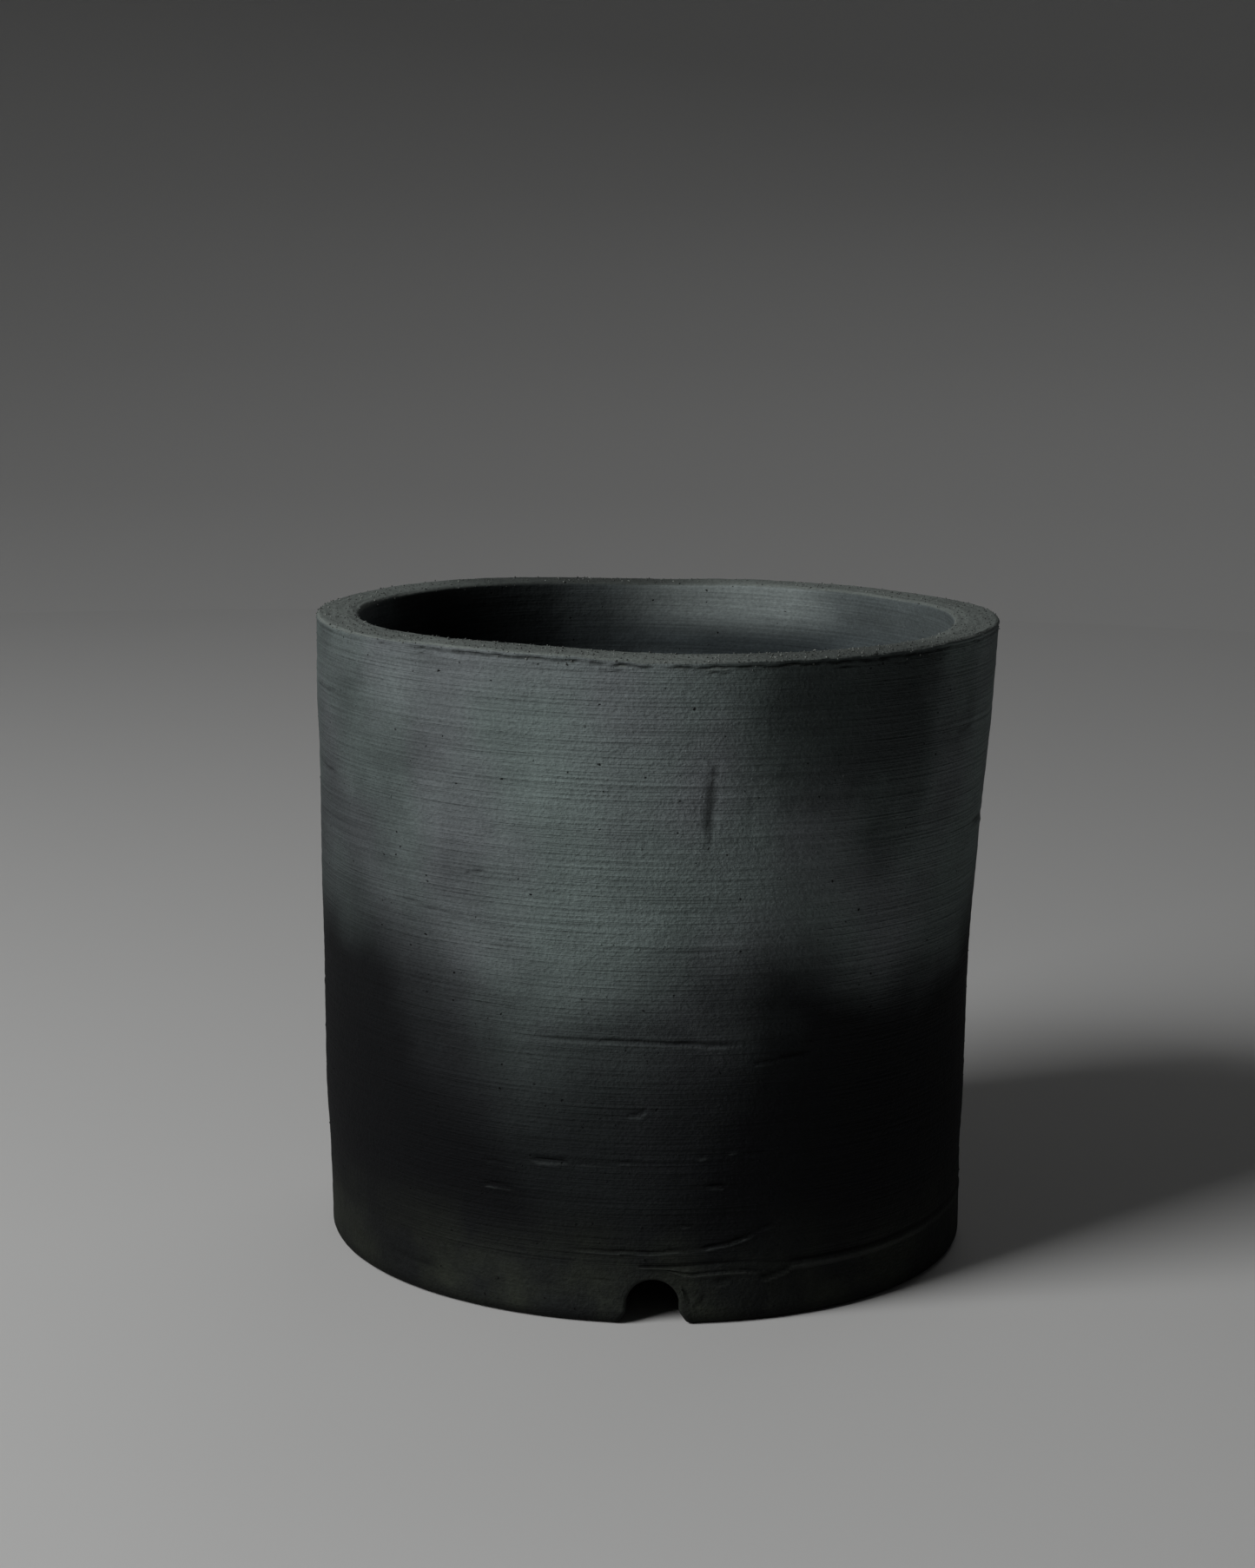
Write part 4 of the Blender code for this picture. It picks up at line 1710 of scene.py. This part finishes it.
@dataclass(frozen=True)
class GrogSand:
    """Crushed fired clay and sand: pale and dark grains mixed, with a faint glint from broken faces."""

    pale: str = "#767b77"
    dark: str = "#3f4341"
    grain_spacing: float = 0.9 * MM

    def make(self) -> bpy.types.Material:
        """Make the material.

        Returns:
            The finished material.
        """
        recipe = Recipe("grog_crushed_fired_clay")
        place = recipe.add("TexCoord").outputs["Object"]
        mixed = {"Vector": place, "Scale": 1.0 / self.grain_spacing, "Detail": 0.0}
        cells = recipe.add("TexNoise", mixed).outputs["Fac"]
        pick = recipe.add("MapRange", {"Value": cells, **span(0.48, 0.66)})
        colour = layered(recipe, linear(self.dark), (pick.outputs["Result"], linear(self.pale)))
        recipe.feed(recipe.shader, {"Base Color": colour, "Roughness": 0.48, "Specular IOR Level": 0.5})
        return recipe.material


# The studio
# ----------


@dataclass(frozen=True)
class Softbox:
    """A soft rectangular light that faces the pot.

    Its azimuth is in degrees round the pot from the front, its elevation in degrees above the table, its
    distance from the pot's middle and its size in metres, and its power in watts.
    """

    name: str
    azimuth: float
    elevation: float
    distance: float
    size: Point
    power: float

    def hang(self) -> None:
        """Hang the light."""
        data = bpy.data.lights.new(self.name, "AREA")
        data.shape = "RECTANGLE"
        data.size, data.size_y = self.size
        data.energy = self.power
        light = bpy.data.objects.new(self.name, data)
        side, lift = math.radians(self.azimuth), math.radians(self.elevation)
        flat = math.cos(lift)
        away = Vector((math.sin(side) * flat, -math.cos(side) * flat, math.sin(lift)))
        light.location = Vector((0.0, 0.0, 0.05)) + away * self.distance
        light.rotation_euler = away.to_track_quat("Z", "Y").to_euler()
        light.visible_camera = False
        bpy.context.scene.collection.objects.link(light)


@dataclass(frozen=True)
class Studio:
    """A pale floor, a soft key light from the left, a weak fill and the camera."""

    camera_distance: float = 456.14 * MM
    camera_height: float = 150.09 * MM
    camera_azimuth: float = -1.3
    pitch_down: float = 10.29
    yaw: float = -0.51
    roll: float = 0.909
    lens: float = 71.43
    sensor: float = 36.0
    floor_radius: float = 0.75
    sweep_radius: float = 2.2
    wall_height: float = 3.2
    key: Softbox = Softbox("key_softbox", -57.0, 34.0, 0.95, (0.42, 0.50), 7.4)
    back: Softbox = Softbox("back_softbox", 160.0, 42.0, 1.4, (0.9, 0.9), 1.1)
    sky: str = "#c4c5c7"
    sky_strength: float = 0.028
    card: str = "#cacac9"

    def add_camera(self) -> None:
        """Stand the camera at the viewing angle."""
        data = bpy.data.cameras.new("camera")
        data.sensor_fit = "VERTICAL"
        data.sensor_height = self.sensor
        data.lens = self.lens
        data.clip_start = 0.01
        data.clip_end = 50.0
        camera = bpy.data.objects.new("camera", data)
        turn = Matrix.Rotation(math.radians(self.camera_azimuth), 4, "Z")
        stand = Matrix.Translation((0.0, -self.camera_distance, self.camera_height))
        look = Matrix.Rotation(math.radians(-self.yaw), 4, "Z") @ Matrix.Rotation(
            math.radians(90.0 - self.pitch_down), 4, "X"
        )
        tilt = Matrix.Rotation(math.radians(self.roll), 4, "Z")
        camera.matrix_world = turn @ stand @ look @ tilt
        bpy.context.scene.collection.objects.link(camera)
        bpy.context.scene.camera = camera

    def add_floor(self) -> None:
        """Lay the pale floor, which sweeps up into a wall far outside the pot on every side."""
        flat, bend = self.floor_radius, self.sweep_radius
        points = [*arc((flat, bend), bend, -90, 0, 12), (flat + bend, self.wall_height)]
        bm = bmesh.new()
        profile = [bm.verts.new((0.0, -radius, height)) for radius, height in points]
        for first, second in zip(profile, profile[1:]):
            bm.edges.new((first, second))
        bmesh.ops.spin(
            bm,
            geom=bm.verts[:] + bm.edges[:],
            cent=(0.0, 0.0, 0.0),
            axis=(0.0, 0.0, 1.0),
            angle=math.tau,
            steps=96,
            use_merge=True,
            use_duplicate=False,
        )
        inner_edge = [edge for edge in bm.edges if edge.is_boundary and edge.verts[0].co.z < MM]
        bmesh.ops.contextual_create(bm, geom=inner_edge)
        bmesh.ops.recalc_face_normals(bm, faces=bm.faces[:])
        for face in bm.faces:
            face.smooth = len(face.verts) == 4
        mesh = bpy.data.meshes.new("studio_floor")
        bm.to_mesh(mesh)
        bm.free()
        recipe = Recipe("paper_matt_pale")
        paper = {"Base Color": linear(self.card), "Roughness": 0.9, "Specular IOR Level": 0.2}
        recipe.feed(recipe.shader, paper)
        mesh.materials.append(recipe.material)
        floor = bpy.data.objects.new("studio_floor", mesh)
        bpy.context.scene.collection.objects.link(floor)

    def add_sky(self) -> None:
        """Give the room its even, weak light."""
        world = bpy.data.worlds.new("studio")
        world.use_nodes = True
        background = world.node_tree.nodes["Background"]
        background.inputs["Color"].default_value = linear(self.sky)
        background.inputs["Strength"].default_value = self.sky_strength
        bpy.context.scene.world = world

    def build(self) -> None:
        """Set up floor, lights and camera."""
        self.add_floor()
        self.key.hang()
        self.back.hang()
        self.add_sky()
        self.add_camera()
        bpy.context.scene.view_settings.view_transform = "Standard"


def main() -> None:
    """Build every piece of the pot, dress it and set up the studio."""
    logging.basicConfig(level=logging.INFO, format="%(name)s: %(message)s")
    form = PotForm.from_frame()
    smoked = SmokeFiredStoneware().make()
    carbon = CarbonStoneware().make()
    bare = BareStoneware().make()
    sand = GrogSand().make()
    Studio().build()
    FootRing(form).dress(bare)
    wall = Wall(form).dress(smoked)
    Floor(form).dress(carbon)
    Coil(
        form,
        name="pressed_corner_coil",
        node="corner_coil",
        slot="carbon_stoneware",
        corner=(form.inner_radius(form.floor_base), form.floor_top),
        size=4.4 * MM,
        upwards=True,
        presses=24,
    ).dress(carbon)
    Coil(
        form,
        name="pressed_foot_coil",
        node="foot_coil",
        slot="bare_stoneware",
        corner=(form.foot_radius - form.foot_width, form.floor_base),
        size=3.3 * MM,
        upwards=False,
        presses=22,
    ).dress(bare)
    Grog(form, wall, Seat.RIM, 1500, 0.08 * MM, 0.20 * MM, 0.30).dress(sand)
    Grog(form, wall, Seat.SKIN, 900, 0.12 * MM, 0.30 * MM, -0.45).dress(smoked)


if __name__ == "__main__":
    main()
